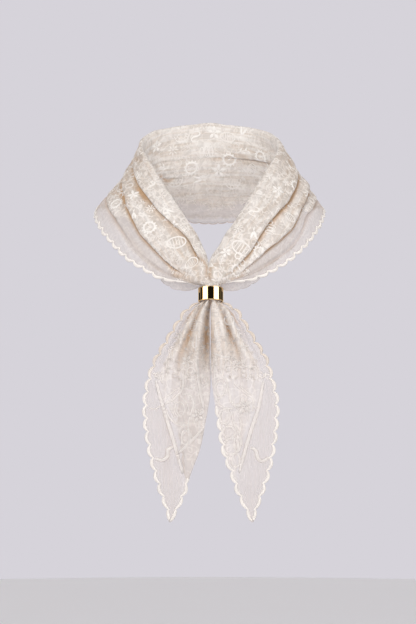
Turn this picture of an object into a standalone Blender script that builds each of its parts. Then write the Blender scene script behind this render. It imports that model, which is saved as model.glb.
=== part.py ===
"""Lace neck shawl, folded lengthwise, worn round a neck and drawn through a metal scarf ring.

One long pointed cloth is folded along its length. The fold stands round the neck, an outer and an
inner layer fall from it in pleats, both fronts pass through the ring, and the two ends hang as
pointed tails. Sizes are in millimetres here and become metres in the mesh. +Z is up, -Y is the
front, and the origin is the middle of the neck opening, where the neck and shoulders hold the cloth.
"""

import math

import bmesh
import bpy
import numpy as np

MM = 0.001

# Cloth
WALL = 1.2  # thickness of the cloth wall
SEAM_GAP = 0.5  # between stretches of the one cloth
SCALLOP_PITCH = 13.2  # width of one scallop of the hem
SCALLOP_DEPTH = 3.0
SCALLOP_STEPS = 4  # straight steps round one scallop
SCALLOP_POWER = 0.7  # below 1 the lobes are fuller than a sine
SCALLOPS_END = 0.95  # way from which the fronts' hems are plain, at the ring

# Scarf ring, leaning back with the chest
RING_CENTRE = (1.3, -95.0, -115.8)
RING_HEIGHT = 15.5
RING_RADIUS = 13.4
RING_WALL = 1.2
RING_CHAMFER = 0.3
RING_LEAN = math.radians(11.5)
RING_FOOT_Y = -96.6  # middle of the ring's lower end
GATHER_RADIUS = 11.3
GATHER_FLUTE = 0.6
GATHER_FOLDS = 11
GATHER_PROUD = 0.3  # how far the gathered cloth stands out of each end of the ring

# Where the nape stretch meets the fronts, as a share of the way from nape to ring
SIDE_SEAM = 0.33


def columns(names, *rows):
    """A table as a dictionary of its named columns."""
    return dict(zip(names.split(), np.array(rows, float).T, strict=True))


# Half of the collar, from the nape (way 0) to the ring (way 1), x on either side.
# fold is the top edge, hem the scalloped outer edge, inner the lower edge of the inner layer,
# bow how far the layers curve out between their edges, dip how much less they do on the left, and
# gap how far apart they start. shift is how far to the right both sides stand, and spread how much
# further out the right fold stands.
COLLAR = columns(
    "way   fold_x fold_y fold_z  hem_x hem_y hem_z   inner_x inner_y inner_z  bow dip gap shift spread",
    (0.00, 0.0, 64.0, 79.5, 0.0, 96.0, -24.0, 0.0, 83.0, -30.5, -8.0, 0.0, 5.2, 0.0, 0.0),
    (0.07, 31.0, 60.0, 76.3, 44.0, 90.5, -22.0, 36.0, 78.5, -27.0, -8.0, 0.0, 5.2, 0.0, 0.0),
    (0.14, 55.6, 50.0, 71.9, 84.0, 74.5, -18.5, 70.0, 64.0, -22.0, -7.0, 1.0, 5.0, 0.0, 0.0),
    (0.22, 73.0, 31.0, 62.4, 112.0, 48.0, -16.5, 93.0, 42.0, -19.0, -5.0, 3.0, 4.4, 0.0, 0.5),
    (0.31, 76.5, 8.0, 49.1, 123.5, 17.0, -17.5, 104.0, 15.0, -22.0, -2.0, 4.0, 3.8, 0.0, 1.5),
    (0.40, 68.8, -22.0, 33.4, 124.0, -12.0, -28.5, 104.0, -10.0, -30.0, 1.0, 3.0, 3.6, 0.0, 2.6),
    (0.50, 52.0, -50.0, 6.5, 114.0, -41.0, -46.5, 95.0, -35.0, -45.0, 4.0, 1.0, 3.6, 0.0, 2.4),
    (0.62, 31.4, -72.0, -25.9, 93.0, -69.0, -70.5, 78.0, -60.0, -69.0, 6.0, 0.0, 3.6, 0.0, 4.0),
    (0.75, 12.8, -84.0, -53.9, 66.0, -87.5, -89.5, 57.0, -79.0, -94.0, 6.0, 0.0, 3.4, 0.0, 3.4),
    (0.88, 2.2, -93.0, -81.6, 39.4, -95.5, -101.0, 34.0, -86.0, -110.0, 6.5, 0.0, 3.2, -1.2, 1.0),
    (0.94, 1.2, -100.0, -94.0, 25.0, -98.0, -103.4, 20.0, -85.0, -111.5, 5.0, 0.0, 3.2, -1.8, 0.0),
    (1.00, 0.9, -104.6, -103.9, 11.8, -95.0, -105.3, 8.6, -86.5, -107.0, 2.0, 0.0, 2.8, 1.3, 0.0),
)
FOLD_LIFT = 0.12  # how far the top fold stands over its edge, as a share of the gap
RING_END_BOW = 1.4  # bow of the inner layer at the ring, where it curves the outer layer's way

# Pleats of the outer layer, from the left ring end (way -1) to the right one (way 1).
# at is the pleat edge's share of the way from fold to hem, lap how far the pleat overhangs
# the next one, and rise how far it stands off the layer.
OUTER_PLEATS = columns(
    "way    at1    lap1 rise1  at2    lap2 rise2  at3    lap3 rise3",
    (-1.00, 0.240, 0.0, 0.2, 0.480, 0.0, 0.2, 0.660, 0.0, 0.2),
    (-0.92, 0.180, 0.0, 1.0, 0.650, 0.0, 1.2, 0.820, 0.0, 0.6),
    (-0.82, 0.165, 1.6, 4.0, 0.710, 3.0, 5.4, 0.870, 0.0, 2.0),
    (-0.72, 0.180, 2.0, 4.4, 0.675, 3.8, 6.4, 0.860, 0.0, 2.2),
    (-0.63, 0.220, 2.4, 4.6, 0.640, 4.6, 7.0, 0.840, 0.0, 2.2),
    (-0.56, 0.250, 2.2, 4.6, 0.595, 5.0, 7.4, 0.780, 0.4, 2.8),
    (-0.48, 0.270, 1.8, 4.2, 0.520, 5.4, 7.6, 0.780, 1.6, 4.6),
    (-0.38, 0.240, 1.0, 3.0, 0.440, 4.6, 6.0, 0.765, 2.6, 5.0),
    (-0.30, 0.180, 0.8, 2.6, 0.360, 3.6, 4.8, 0.740, 2.4, 4.4),
    (-0.15, 0.200, 1.8, 3.8, 0.440, 2.2, 4.2, 0.710, 2.6, 4.6),
    (0.00, 0.180, 1.6, 4.4, 0.420, 3.0, 5.6, 0.710, 1.8, 4.6),
    (0.15, 0.220, 2.4, 4.4, 0.520, 2.4, 4.6, 0.760, 2.8, 4.8),
    (0.28, 0.250, 3.2, 5.2, 0.680, 3.6, 5.6, 0.860, 2.0, 3.6),
    (0.36, 0.360, 4.4, 7.0, 0.645, 4.8, 7.2, 0.820, 2.4, 4.4),
    (0.44, 0.435, 5.4, 7.6, 0.635, 5.4, 7.6, 0.790, 2.2, 4.4),
    (0.50, 0.455, 5.2, 7.4, 0.665, 5.4, 7.6, 0.780, 0.8, 3.6),
    (0.56, 0.420, 4.4, 6.8, 0.710, 4.6, 7.0, 0.840, 0.0, 2.4),
    (0.64, 0.425, 4.0, 6.6, 0.695, 4.0, 6.6, 0.860, 0.0, 2.2),
    (0.72, 0.490, 3.6, 6.2, 0.685, 3.6, 6.0, 0.860, 0.0, 2.2),
    (0.80, 0.550, 2.0, 4.6, 0.715, 1.4, 3.8, 0.860, 0.0, 1.8),
    (0.90, 0.560, 0.0, 2.0, 0.710, 0.0, 1.4, 0.830, 0.0, 0.8),
    (1.00, 0.360, 0.0, 0.2, 0.540, 0.0, 0.2, 0.680, 0.0, 0.2),
)

# Pleats of the inner layer, which rise towards the neck.
INNER_PLEATS = columns(
    "way    at1   lap1 rise1  at2   lap2 rise2  at3   lap3 rise3",
    (-1.00, 0.30, 0.0, 0.2, 0.55, 0.0, 0.2, 0.80, 0.0, 0.2),
    (-0.62, 0.26, 0.0, 0.5, 0.48, 0.0, 0.8, 0.70, 0.0, 0.8),
    (-0.40, 0.22, 0.0, 0.6, 0.42, 0.6, 1.8, 0.60, 1.0, 2.4),
    (-0.22, 0.17, 1.0, 2.2, 0.40, 2.4, 4.0, 0.55, 3.0, 4.6),
    (-0.10, 0.13, 1.4, 3.2, 0.36, 2.2, 4.4, 0.52, 2.4, 4.0),
    (0.00, 0.13, 1.0, 3.0, 0.34, 2.0, 4.4, 0.53, 1.0, 2.6),
    (0.10, 0.14, 1.4, 3.2, 0.35, 2.6, 4.6, 0.55, 0.5, 2.0),
    (0.22, 0.16, 1.2, 2.4, 0.38, 3.0, 4.6, 0.58, 0.6, 2.0),
    (0.40, 0.22, 0.0, 0.6, 0.42, 0.8, 1.8, 0.62, 0.4, 1.6),
    (0.62, 0.26, 0.0, 0.5, 0.48, 0.0, 0.8, 0.70, 0.0, 0.8),
    (1.00, 0.30, 0.0, 0.2, 0.55, 0.0, 0.2, 0.80, 0.0, 0.2),
)
PLEATS = 3

# A pleat's section: share of the pleat's width, and share of its rise.
PLEAT_CROWN = ((0.35, 0.75), (0.66, 1.0), (0.92, 0.95), (1.0, 0.58))
FIRST_CROWN = ((0.14, 0.55), *PLEAT_CROWN)
INNER_CROWN = ((0.45, 0.9), (0.88, 1.0), (1.0, 0.58))
FIRST_INNER_CROWN = ((0.2, 0.6), *INNER_CROWN)
PLEAT_LEAD = 0.13  # share of a pleat's width that stays low beside the overhanging edge
LEAD_RISE = 0.1
BORDER_CROWN = ((0.35, 1.0), (0.75, 0.6), (1.0, 0.0))
BORDER_RISE = 2.0
INNER_BORDER_RISE = 1.0
CALM_FROM = 0.84  # way from which the pleats press flat towards the ring
FLUTTER = 1.5  # waves of the loose hem
FLUTTER_WAVES = (23.0, 41.0)

# Left tail: inner and outer edge, the depth it hangs at, and how round the bundle still is.
LEFT_TAIL = columns(
    "z       inner_x outer_x depth  round",
    (-124.6, 0.4, -10.6, -95.0, 8.5),
    (-131.0, -1.4, -21.4, -97.5, 5.5),
    (-144.7, -3.0, -32.4, -99.5, 3.0),
    (-163.6, -3.6, -44.4, -100.0, 2.0),
    (-182.5, -3.6, -56.5, -99.5, 1.5),
    (-203.5, -2.2, -64.5, -99.0, 1.0),
    (-226.6, -1.8, -68.4, -98.5, 0.5),
    (-252.8, -6.2, -68.2, -98.0, 0.0),
    (-279.0, -12.2, -64.4, -97.0, 0.0),
    (-303.0, -21.5, -58.4, -96.0, 0.0),
    (-327.4, -29.6, -51.2, -95.5, 0.0),
    (-345.0, -35.4, -46.4, -95.0, 0.0),
    (-355.0, -38.6, -44.0, -95.0, 0.0),
)
RIGHT_TAIL = columns(
    "z       inner_x outer_x depth  round",
    (-124.6, 2.2, 13.0, -95.0, 9.0),
    (-131.0, 1.2, 25.0, -98.0, 5.5),
    (-144.7, 0.8, 35.5, -100.5, 3.0),
    (-163.6, 0.6, 47.0, -101.0, 2.0),
    (-182.5, 1.2, 58.5, -100.5, 1.5),
    (-203.5, 2.2, 65.0, -100.0, 1.0),
    (-226.6, 4.0, 70.0, -99.0, 0.5),
    (-252.8, 9.2, 70.0, -98.0, 0.0),
    (-279.0, 13.2, 67.0, -97.0, 0.0),
    (-303.0, 22.0, 62.4, -96.0, 0.0),
    (-327.4, 30.6, 54.6, -95.5, 0.0),
    (-345.0, 38.4, 49.8, -95.0, 0.0),
    (-355.0, 42.0, 47.6, -95.0, 0.0),
)

# Folds of a tail, a row for each from its inner edge to its hem. share is the fold's place
# between the tail's edges, and out how far it stands towards the front, at four heights.
FOLD_HEIGHTS = np.array((-124.6, -150.0, -190.0, -235.0, -285.0, -355.0))
LEFT_TAIL_FOLDS = (
    # share at each height, then out at each height
    ((-0.10, -0.10, -0.06, 0.00, 0.00, 0.00), (-7.0, -7.5, -5.5, -1.0, 0.0, 0.0)),
    ((-0.02, -0.02, 0.02, 0.08, 0.10, 0.12), (-4.5, -6.0, -4.6, -0.6, 0.3, 0.0)),
    ((0.08, 0.08, 0.10, 0.16, 0.20, 0.25), (-1.0, -1.6, -0.5, 1.4, 0.8, 0.2)),
    ((0.20, 0.18, 0.19, 0.24, 0.30, 0.38), (1.4, 3.6, 3.6, 2.6, 1.2, 0.3)),
    ((0.33, 0.31, 0.31, 0.36, 0.40, 0.48), (1.2, 3.0, 2.8, 1.8, 0.8, 0.2)),
    ((0.44, 0.42, 0.43, 0.48, 0.52, 0.58), (-1.0, -2.4, -2.0, -1.0, -0.4, 0.0)),
    ((0.55, 0.53, 0.54, 0.58, 0.62, 0.68), (0.2, 0.6, 0.4, 0.2, 0.0, 0.1)),
    ((0.68, 0.64, 0.65, 0.68, 0.72, 0.78), (1.2, 3.0, 2.6, 1.6, 0.8, 0.2)),
    ((0.81, 0.79, 0.80, 0.82, 0.84, 0.88), (-0.4, -1.6, -1.2, -0.6, -0.2, 0.0)),
    ((0.91, 0.90, 0.91, 0.92, 0.92, 0.91), (0.2, 0.8, 0.8, 0.8, 0.6, 0.1)),
    ((1.00, 1.00, 1.00, 1.00, 1.00, 1.00), (0.0, 0.0, 0.0, 0.0, 0.0, 0.0)),
)
RIGHT_TAIL_FOLDS = (
    ((0.04, 0.03, 0.00, 0.00, 0.00, 0.00), (-3.0, -3.4, -2.6, -0.4, 0.2, 0.0)),
    ((0.01, 0.02, 0.03, 0.05, 0.08, 0.12), (-0.4, -0.6, -0.2, 0.6, 0.6, 0.0)),
    ((0.07, 0.06, 0.07, 0.11, 0.16, 0.25), (0.8, 1.8, 1.6, 1.6, 1.0, 0.2)),
    ((0.20, 0.15, 0.15, 0.19, 0.24, 0.36), (1.4, 3.8, 3.4, 2.4, 1.2, 0.3)),
    ((0.36, 0.34, 0.30, 0.32, 0.36, 0.46), (1.2, 3.6, 3.2, 2.0, 0.8, 0.2)),
    ((0.48, 0.47, 0.46, 0.46, 0.50, 0.56), (-0.8, -2.0, -1.6, -0.8, -0.4, 0.0)),
    ((0.58, 0.56, 0.56, 0.56, 0.60, 0.66), (0.2, 0.6, 0.6, 0.4, 0.2, 0.1)),
    ((0.70, 0.67, 0.68, 0.68, 0.72, 0.78), (1.2, 2.6, 2.4, 1.6, 1.0, 0.2)),
    ((0.82, 0.82, 0.82, 0.82, 0.84, 0.88), (-0.4, -1.4, -1.0, -0.6, -0.2, 0.0)),
    ((0.91, 0.91, 0.91, 0.92, 0.92, 0.91), (0.2, 0.8, 0.8, 0.8, 0.6, 0.1)),
    ((1.00, 1.00, 1.00, 1.00, 1.00, 1.00), (0.0, 0.0, 0.0, 0.0, 0.0, 0.0)),
)
TAIL_COLUMNS = 18  # one for each scallop of the outer hem
# Height below which a tail's inner edge shows its scallops and isn't folded or rolled
INNER_SCALLOPS_FROM = {"left_tail": -308.0, "right_tail": -232.0}
INNER_SCALLOPS_GROW = 15.0  # over this height they reach their depth
TIP_WIDTHS = (5.0, 25.0)  # a tail's widths between which its scallops shrink to nothing
RING_TILT_FROM = -150.0  # height from which the tails' folds tilt to the leaning ring
RING_TILT_RUN = 25.0

# The part of the left tail that is turned under behind its smooth inner edge, and how much
# further behind than the edge its own free edge hangs.
TURN_UNDER = columns(
    "z       width slack",
    (-150.0, 20.0, 2.6),
    (-190.0, 26.0, 2.4),
    (-230.0, 29.0, 2.2),
    (-265.0, 22.0, 2.0),
    (-290.0, 12.0, 1.4),
    (-309.0, 3.0, 0.6),
)
TURN_UNDER_COLUMNS = 12
TURN_UNDER_GAP = 0.4  # from the wall in front of it, at the inner edge

CLOTH_COLOUR = (0.87, 0.80, 0.70, 1.0)
METAL_COLOUR = (0.85, 0.64, 0.36, 1.0)


def curve_through(knots, values, at):
    """Values at the given places on the smooth curve through the knots (cubic, Catmull-Rom slopes)."""
    knots, values = np.asarray(knots, float), np.asarray(values, float)
    slopes = np.gradient(values, knots, axis=0)
    low = np.clip(np.searchsorted(knots, at, side="right") - 1, 0, len(knots) - 2)
    span = knots[low + 1] - knots[low]
    t = (at - knots[low]) / span
    return (
        values[low] * (1 + 2 * t) * (1 - t) ** 2
        + slopes[low] * span * t * (1 - t) ** 2
        + values[low + 1] * t * t * (3 - 2 * t)
        + slopes[low + 1] * span * t * t * (t - 1)
    )


def unit(vectors):
    return vectors / np.linalg.norm(vectors, axis=-1, keepdims=True)


def collar_edge(name, way):
    """Points of one of the collar's edges at the given ways, -1 at the left ring end."""
    knots = np.concatenate([-COLLAR["way"][:0:-1], COLLAR["way"]])
    points = []
    for axis, sign in (("x", -1), ("y", 1), ("z", 1)):
        half = COLLAR[f"{name}_{axis}"]
        points.append(curve_through(knots, np.concatenate([sign * half[:0:-1], half]), way))
    points[0] += collar_value("shift", way)
    if name == "fold":
        points[0] += np.where(way > 0, collar_value("spread", way), 0)
    return np.stack(points, axis=-1)


def collar_value(name, way):
    """A measure that is the same on both sides of the collar."""
    return curve_through(COLLAR["way"], COLLAR[name], np.abs(way))


def near_ring(way):
    """0 round the neck, rising smoothly to 1 where the cloth goes into the ring."""
    t = np.clip((np.abs(way) - CALM_FROM) / (1 - CALM_FROM), 0, 1)
    return t * t * (3 - 2 * t)


def pleat_rows(way, table, width, first_crown, crown, border_rise):
    """Rows of a pleated layer from its top edge to its hem, as (distance down, rise) at each way.

    Each pleat rises from under the one before, crowns, and ends in an edge that laps the next.
    Near the ring its rows spread evenly and lie flat."""
    rows, start, lap = [], 0 * width, 0 * width
    calm = near_ring(way)
    for k in range(1, PLEATS + 2):
        if k <= PLEATS:
            edge = curve_through(table["way"], table[f"at{k}"], way) * width
            rise = curve_through(table["way"], table[f"rise{k}"], way)
            shape = first_crown if k == 1 else crown
        else:
            edge, rise, shape = width, border_rise + 0 * width, BORDER_CROWN
        strip = edge - start
        line = [] if k == 1 else [(-lap / strip, 0.0), (PLEAT_LEAD, LEAD_RISE)]
        line += shape
        for place, (share, height) in enumerate(line, 1):
            share = share + calm * (place / len(line) - share)
            rows.append((start + share * strip, height * rise * (1 - calm)))
        start, lap = edge, curve_through(table["way"], table[f"lap{min(k, PLEATS)}"], way)
    return rows


def lay_rows(top, hem, rows, side, bow):
    """Places a layer's rows between its top edge and its hem. side is the way that pleats rise."""
    down = unit(hem - top)
    width = np.linalg.norm(hem - top, axis=-1)
    placed = []
    for distance, rise in rows:
        share = np.clip(distance / width, 0, 1)
        out = rise + bow * 4 * share * (1 - share)
        placed.append(top + distance[:, None] * down + out[:, None] * side)
    return placed


def collar_frames(way):
    """The collar's edges at each way, and the directions that its two layers rise."""
    fold, hem, inner = (collar_edge(name, way) for name in ("fold", "hem", "inner"))
    step = 1e-3
    middle = [
        sum(collar_edge(name, np.clip(way + s, -1, 1)) for name in ("fold", "hem")) for s in (-step, step)
    ]
    along = unit(middle[1] - middle[0])
    out = unit(np.cross(along, hem - fold))
    behind = np.stack([0.2 * np.sign(way), 1 + 0 * way, 0 * way], axis=-1)
    calm = near_ring(way)[:, None]
    to_inner = unit((1 - calm) * -out + calm * behind)
    top_in = fold + collar_value("gap", way)[:, None] * to_inner
    inward = -unit(np.cross(along, inner - top_in))
    return fold, hem, top_in, inner, out, inward


def collar_section(way):
    """Points of the folded cloth at each way, from the inner hem over the fold to the outer hem."""
    fold, hem, top_in, inner, out, inward = collar_frames(way)
    bow = collar_value("bow", way) - np.where(way < 0, collar_value("dip", way), 0)
    gap = collar_value("gap", way)[:, None]
    width = np.linalg.norm(hem - fold, axis=-1)
    outer_rows = pleat_rows(way, OUTER_PLEATS, width, FIRST_CROWN, PLEAT_CROWN, BORDER_RISE)
    outer = lay_rows(fold, hem, outer_rows, out, bow)
    inner_width = np.linalg.norm(inner - top_in, axis=-1)
    inner_rows = pleat_rows(
        way, INNER_PLEATS, inner_width, FIRST_INNER_CROWN, INNER_CROWN, INNER_BORDER_RISE
    )
    within = lay_rows(top_in, inner, inner_rows, inward, bow * (RING_END_BOW * near_ring(way) - 1))
    apex = (fold + top_in) / 2 - FOLD_LIFT * gap * unit(hem - fold)
    return np.stack([*within[::-1], apex, *outer], axis=1)


def scallop(turns):
    """How far the hem stands out at each turn: round lobes with a cusp at every whole number."""
    return SCALLOP_DEPTH * np.abs(np.sin(np.pi * turns)) ** SCALLOP_POWER


def hem_places(edge, low, high, count, pitch=None):
    """Parameters from low to high that are evenly spaced along edge(parameter)."""
    fine = np.linspace(low, high, 400)
    points = edge(fine)
    length = np.concatenate([[0], np.cumsum(np.linalg.norm(np.diff(points, axis=0), axis=1))])
    if count is None:
        count = max(2, round(length[-1] / pitch))
    return count, lambda turns: np.interp(np.asarray(turns, float) / count * length[-1], length, fine)


def build_sheet(name, coarse, fine_hem, material, fine_start=None):
    """A cloth wall from a grid of points, with finer scalloped rows along its last and first edge.

    coarse is (columns + 1, rows, 3). fine_hem, and fine_start if it is given, hold the scalloped
    edge at SCALLOP_STEPS steps a column, and take the place of the grid's last and first row."""
    bm = bmesh.new()
    count, rows = coarse.shape[:2]
    first = 1 if fine_start is not None else 0
    grid = [[bm.verts.new(coarse[i, j] * MM) for j in range(first, rows - 1)] for i in range(count)]
    for i in range(count - 1):
        for j in range(len(grid[0]) - 1):
            bm.faces.new((grid[i][j], grid[i + 1][j], grid[i + 1][j + 1], grid[i][j + 1]))
    edges = [(fine_hem, -1, False)]
    if fine_start is not None:
        edges.append((fine_start, 0, True))
    for points, column, turned in edges:
        fine = [bm.verts.new(p * MM) for p in points]
        for i in range(count - 1):
            near, far = grid[i][column], grid[i + 1][column]
            lobe = fine[i * SCALLOP_STEPS : (i + 1) * SCALLOP_STEPS + 1]
            half = SCALLOP_STEPS // 2
            faces = [(near, lobe[k + 1], lobe[k]) for k in range(half)]
            faces += [(near, far, lobe[half])]
            faces += [(far, lobe[k + 1], lobe[k]) for k in range(half, SCALLOP_STEPS)]
            for face in faces:
                bm.faces.new(face[::-1] if turned else face)
    return finish_wall(name, bm, material)


def finish_wall(name, bm, material):
    """Makes an object of an open surface, and gives it the cloth's thickness."""
    mesh = bpy.data.meshes.new(name)
    bm.to_mesh(mesh)
    bm.free()
    mesh.shade_smooth()
    wall = bpy.data.objects.new(name, mesh)
    solidify = wall.modifiers.new("cloth thickness", "SOLIDIFY")
    solidify.thickness = WALL * MM
    solidify.offset = 0
    solidify.use_rim = True
    add(wall, material)
    return wall


def add(thing, material):
    thing.data.materials.append(material)
    collection.objects.link(thing)


def flutter(way):
    """Small uneven waves of the loose hem, which die out towards the ring and the seams."""
    slow, quick = FLUTTER_WAVES
    return FLUTTER * (0.6 * np.sin(slow * way) + 0.4 * np.sin(quick * way + 1.0)) * (1 - np.abs(way))


def hem_points(way, turns):
    """The collar's scalloped edge at each way."""
    fold, hem, _, _, out, _ = collar_frames(way)
    lobe = scallop(turns) * np.clip((SCALLOPS_END - np.abs(way)) * 8, 0, 1)
    return hem + lobe[:, None] * unit(hem - fold) + flutter(way)[:, None] * out


def collar_stretch(name, low, high, material):
    """One stretch of the collar, from way low to way high."""
    count, place = hem_places(lambda w: collar_edge("hem", w), low, high, None, SCALLOP_PITCH)
    ways = place(np.arange(count + 1))
    coarse = collar_section(ways)
    turns = np.arange(count * SCALLOP_STEPS + 1) / SCALLOP_STEPS
    return build_sheet(name, coarse, hem_points(place(turns), turns), material)


def tail_edges(table, z):
    inner, outer, depth, roundness = (
        curve_through(-table["z"], table[key], -z) for key in ("inner_x", "outer_x", "depth", "round")
    )
    return inner, outer, depth, roundness


def tail_section(table, folds, z):
    """Points of a tail at each height, from its inner edge to its hem."""
    inner, outer, depth, roundness = tail_edges(table, z)
    rows = []
    for shares, outs in folds:
        share = curve_through(-FOLD_HEIGHTS, shares, -z)
        out = curve_through(-FOLD_HEIGHTS, outs, -z)
        x = inner + share * (outer - inner)
        swell = roundness * (1 - np.clip(share, 0, 1) ** 2)
        rows.append(np.stack([x, depth - swell - out, z], axis=-1))
    return meet_ring(np.stack(rows, axis=1))


def meet_ring(points):
    """Tilts the topmost part of a tail to the leaning end of the ring."""
    near = np.clip((points[..., 2] - RING_TILT_FROM) / RING_TILT_RUN, 0, 1)
    points[..., 2] -= near * math.tan(RING_LEAN) * (points[..., 1] - RING_FOOT_Y)
    return points


def tail_hem(table, z, turns, side):
    """The tail's scalloped edge. side is 1 for the outer hem and 0 for the inner one."""
    inner, outer, depth, _ = tail_edges(table, z)
    edge_x = outer if side else inner
    slope = np.gradient(edge_x, z)
    away = (1 if side else -1) * np.sign(outer - inner)
    normal = np.stack([away / np.hypot(1, slope), 0 * z, -away * slope / np.hypot(1, slope)], axis=-1)
    low, high = TIP_WIDTHS
    shown = np.clip((np.abs(outer - inner) - low) / (high - low), 0, 1)
    shift = scallop(turns) * np.sqrt(shown) - SCALLOP_DEPTH / 3 * shown
    return meet_ring(np.stack([edge_x, depth, z], axis=-1) + shift[:, None] * normal)


def tail(name, table, folds, material):
    """A pointed tail, hanging from the ring to its tip."""
    top, bottom = table["z"].max(), table["z"].min()

    def outer_edge(z):
        _, outer, depth, _ = tail_edges(table, z)
        return np.stack([outer, depth, z], axis=-1)

    count, place = hem_places(outer_edge, top, bottom, TAIL_COLUMNS)
    coarse = tail_section(table, folds, place(np.arange(count + 1)))
    turns = np.arange(count * SCALLOP_STEPS + 1) / SCALLOP_STEPS
    z = place(turns)
    inner_rows = tail_section(table, folds, z)[:, 0]
    shown = np.clip((INNER_SCALLOPS_FROM[name] - z) / INNER_SCALLOPS_GROW, 0, 1)
    scalloped = tail_hem(table, z, turns, 0)
    inner_rows = inner_rows + shown[:, None] * (scalloped - inner_rows)
    return build_sheet(name, coarse, tail_hem(table, z, turns, 1), material, inner_rows)


def turn_under(name, material):
    """The left tail's turned-under part: a plain layer behind it, with a scalloped free edge."""
    steps = TURN_UNDER_COLUMNS * SCALLOP_STEPS
    z = np.linspace(TURN_UNDER["z"].max(), TURN_UNDER["z"].min(), steps + 1)
    width, slack = (curve_through(-TURN_UNDER["z"], TURN_UNDER[key], -z) for key in ("width", "slack"))
    edge = tail_section(LEFT_TAIL, LEFT_TAIL_FOLDS, z)[:, 0]
    edge[:, 1] += WALL + TURN_UNDER_GAP
    across = np.stack([-width, slack, 0 * z], axis=-1)
    shares = np.array((0.0, 0.33, 0.66, 1.0))
    sheet = edge[:, None] + shares[:, None] * across[:, None]
    turns = np.arange(steps + 1) / SCALLOP_STEPS
    free = sheet[:, -1].copy()
    free[:, 0] -= 0.6 * scallop(turns) * np.clip((width - 3) / 10, 0, 1)
    return build_sheet(name, sheet[::SCALLOP_STEPS], free, material)


def scarf_ring(material):
    """A plain turned band with softened edges."""
    out, inn, half, cut = RING_RADIUS, RING_RADIUS - RING_WALL, RING_HEIGHT / 2, RING_CHAMFER
    profile = (
        (inn + cut, half),
        (out - cut, half),
        (out, half - cut),
        (out, cut - half),
        (out - cut, -half),
        (inn + cut, -half),
        (inn, cut - half),
        (inn, half - cut),
    )
    bm = bmesh.new()
    verts = [bm.verts.new((r * MM, 0, z * MM)) for r, z in profile]
    for a, b in zip(verts, verts[1:] + verts[:1], strict=True):
        bm.edges.new((a, b))
    mesh = bpy.data.meshes.new("scarf_ring")
    bm.to_mesh(mesh)
    bm.free()
    ring = bpy.data.objects.new("scarf_ring", mesh)
    screw = ring.modifiers.new("turned", "SCREW")
    screw.steps = screw.render_steps = 48
    screw.use_merge_vertices = True
    screw.merge_threshold = 0.00001
    ring.location = [v * MM for v in RING_CENTRE]
    ring.rotation_euler = (-RING_LEAN, 0, 0)
    add(ring, material)
    return ring


def ring_gather(material):
    """The cloth bunched inside the ring: a fluted column, its layers pressed together."""
    segments = GATHER_FOLDS * 4
    bm = bmesh.new()
    depth = RING_HEIGHT + 2 * GATHER_PROUD
    bmesh.ops.create_cone(
        bm,
        cap_ends=True,
        segments=segments,
        radius1=GATHER_RADIUS * MM,
        radius2=GATHER_RADIUS * MM,
        depth=depth * MM,
    )
    for v in bm.verts:
        angle = math.atan2(v.co.y, v.co.x)
        grown = 1 + GATHER_FLUTE / GATHER_RADIUS * math.cos(GATHER_FOLDS * angle)
        v.co.x *= grown
        v.co.y *= grown
    mesh = bpy.data.meshes.new("ring_gather")
    bm.to_mesh(mesh)
    bm.free()
    gather = bpy.data.objects.new("ring_gather", mesh)
    gather.location = [v * MM for v in RING_CENTRE]
    gather.rotation_euler = (-RING_LEAN, 0, 0)
    add(gather, material)
    return gather


def principled(name, colour, roughness, metallic):
    material = bpy.data.materials.new(name)
    material.use_nodes = True
    shader = material.node_tree.nodes["Principled BSDF"]
    shader.inputs["Base Color"].default_value = colour
    shader.inputs["Roughness"].default_value = roughness
    shader.inputs["Metallic"].default_value = metallic
    return material


def seam_share(way):
    """Half of the seam gap, as a share of the way, at the given way."""
    step = 1e-3
    run = np.linalg.norm(collar_edge("fold", np.array([way + step])) - collar_edge("fold", np.array([way])))
    return SEAM_GAP / 2 * step / run


for old in list(bpy.data.objects):
    bpy.data.objects.remove(old)
collection = bpy.data.collections.new("lace_shawl")
bpy.context.scene.collection.children.link(collection)

ivory = principled("ivory_lace", CLOTH_COLOUR, 0.8, 0.0)
gilt = principled("gilt_metal", METAL_COLOUR, 0.12, 1.0)

side = seam_share(SIDE_SEAM)
collar_stretch("left_front", -1.0, -SIDE_SEAM - side, ivory)
collar_stretch("nape", -SIDE_SEAM + side, SIDE_SEAM - side, ivory)
collar_stretch("right_front", SIDE_SEAM + side, 1.0, ivory)
tail("left_tail", LEFT_TAIL, LEFT_TAIL_FOLDS, ivory)
tail("right_tail", RIGHT_TAIL, RIGHT_TAIL_FOLDS, ivory)
turn_under("left_tail_turn_under", ivory)
ring_gather(ivory)
scarf_ring(gilt)
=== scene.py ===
"""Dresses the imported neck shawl: sheer lace cloth with soft folds, satin-stitched embroidery, corded
scalloped edges, the cloth gathered in its ring, and the polished scarf ring, in a plain studio.

Shapes are worked out in millimetres and become metres in the meshes. +Z is up and -Y is the front."""

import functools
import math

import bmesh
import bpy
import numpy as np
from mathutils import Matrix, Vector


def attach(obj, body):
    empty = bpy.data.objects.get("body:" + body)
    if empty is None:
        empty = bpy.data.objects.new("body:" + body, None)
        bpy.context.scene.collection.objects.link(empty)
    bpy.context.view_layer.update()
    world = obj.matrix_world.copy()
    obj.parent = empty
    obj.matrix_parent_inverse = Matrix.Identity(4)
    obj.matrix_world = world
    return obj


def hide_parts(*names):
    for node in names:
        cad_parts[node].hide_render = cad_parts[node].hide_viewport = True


bl_info = {
    "name": "Lace neck shawl with scarf ring",
    "version": (1, 0, 0),
    "blender": (4, 5, 0),
    "location": "3D View > Sidebar > Shawl",
    "description": "Makes the cloth, embroidery, edges and ring of a lace neck shawl",
    "category": "Add Mesh",
}

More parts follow.
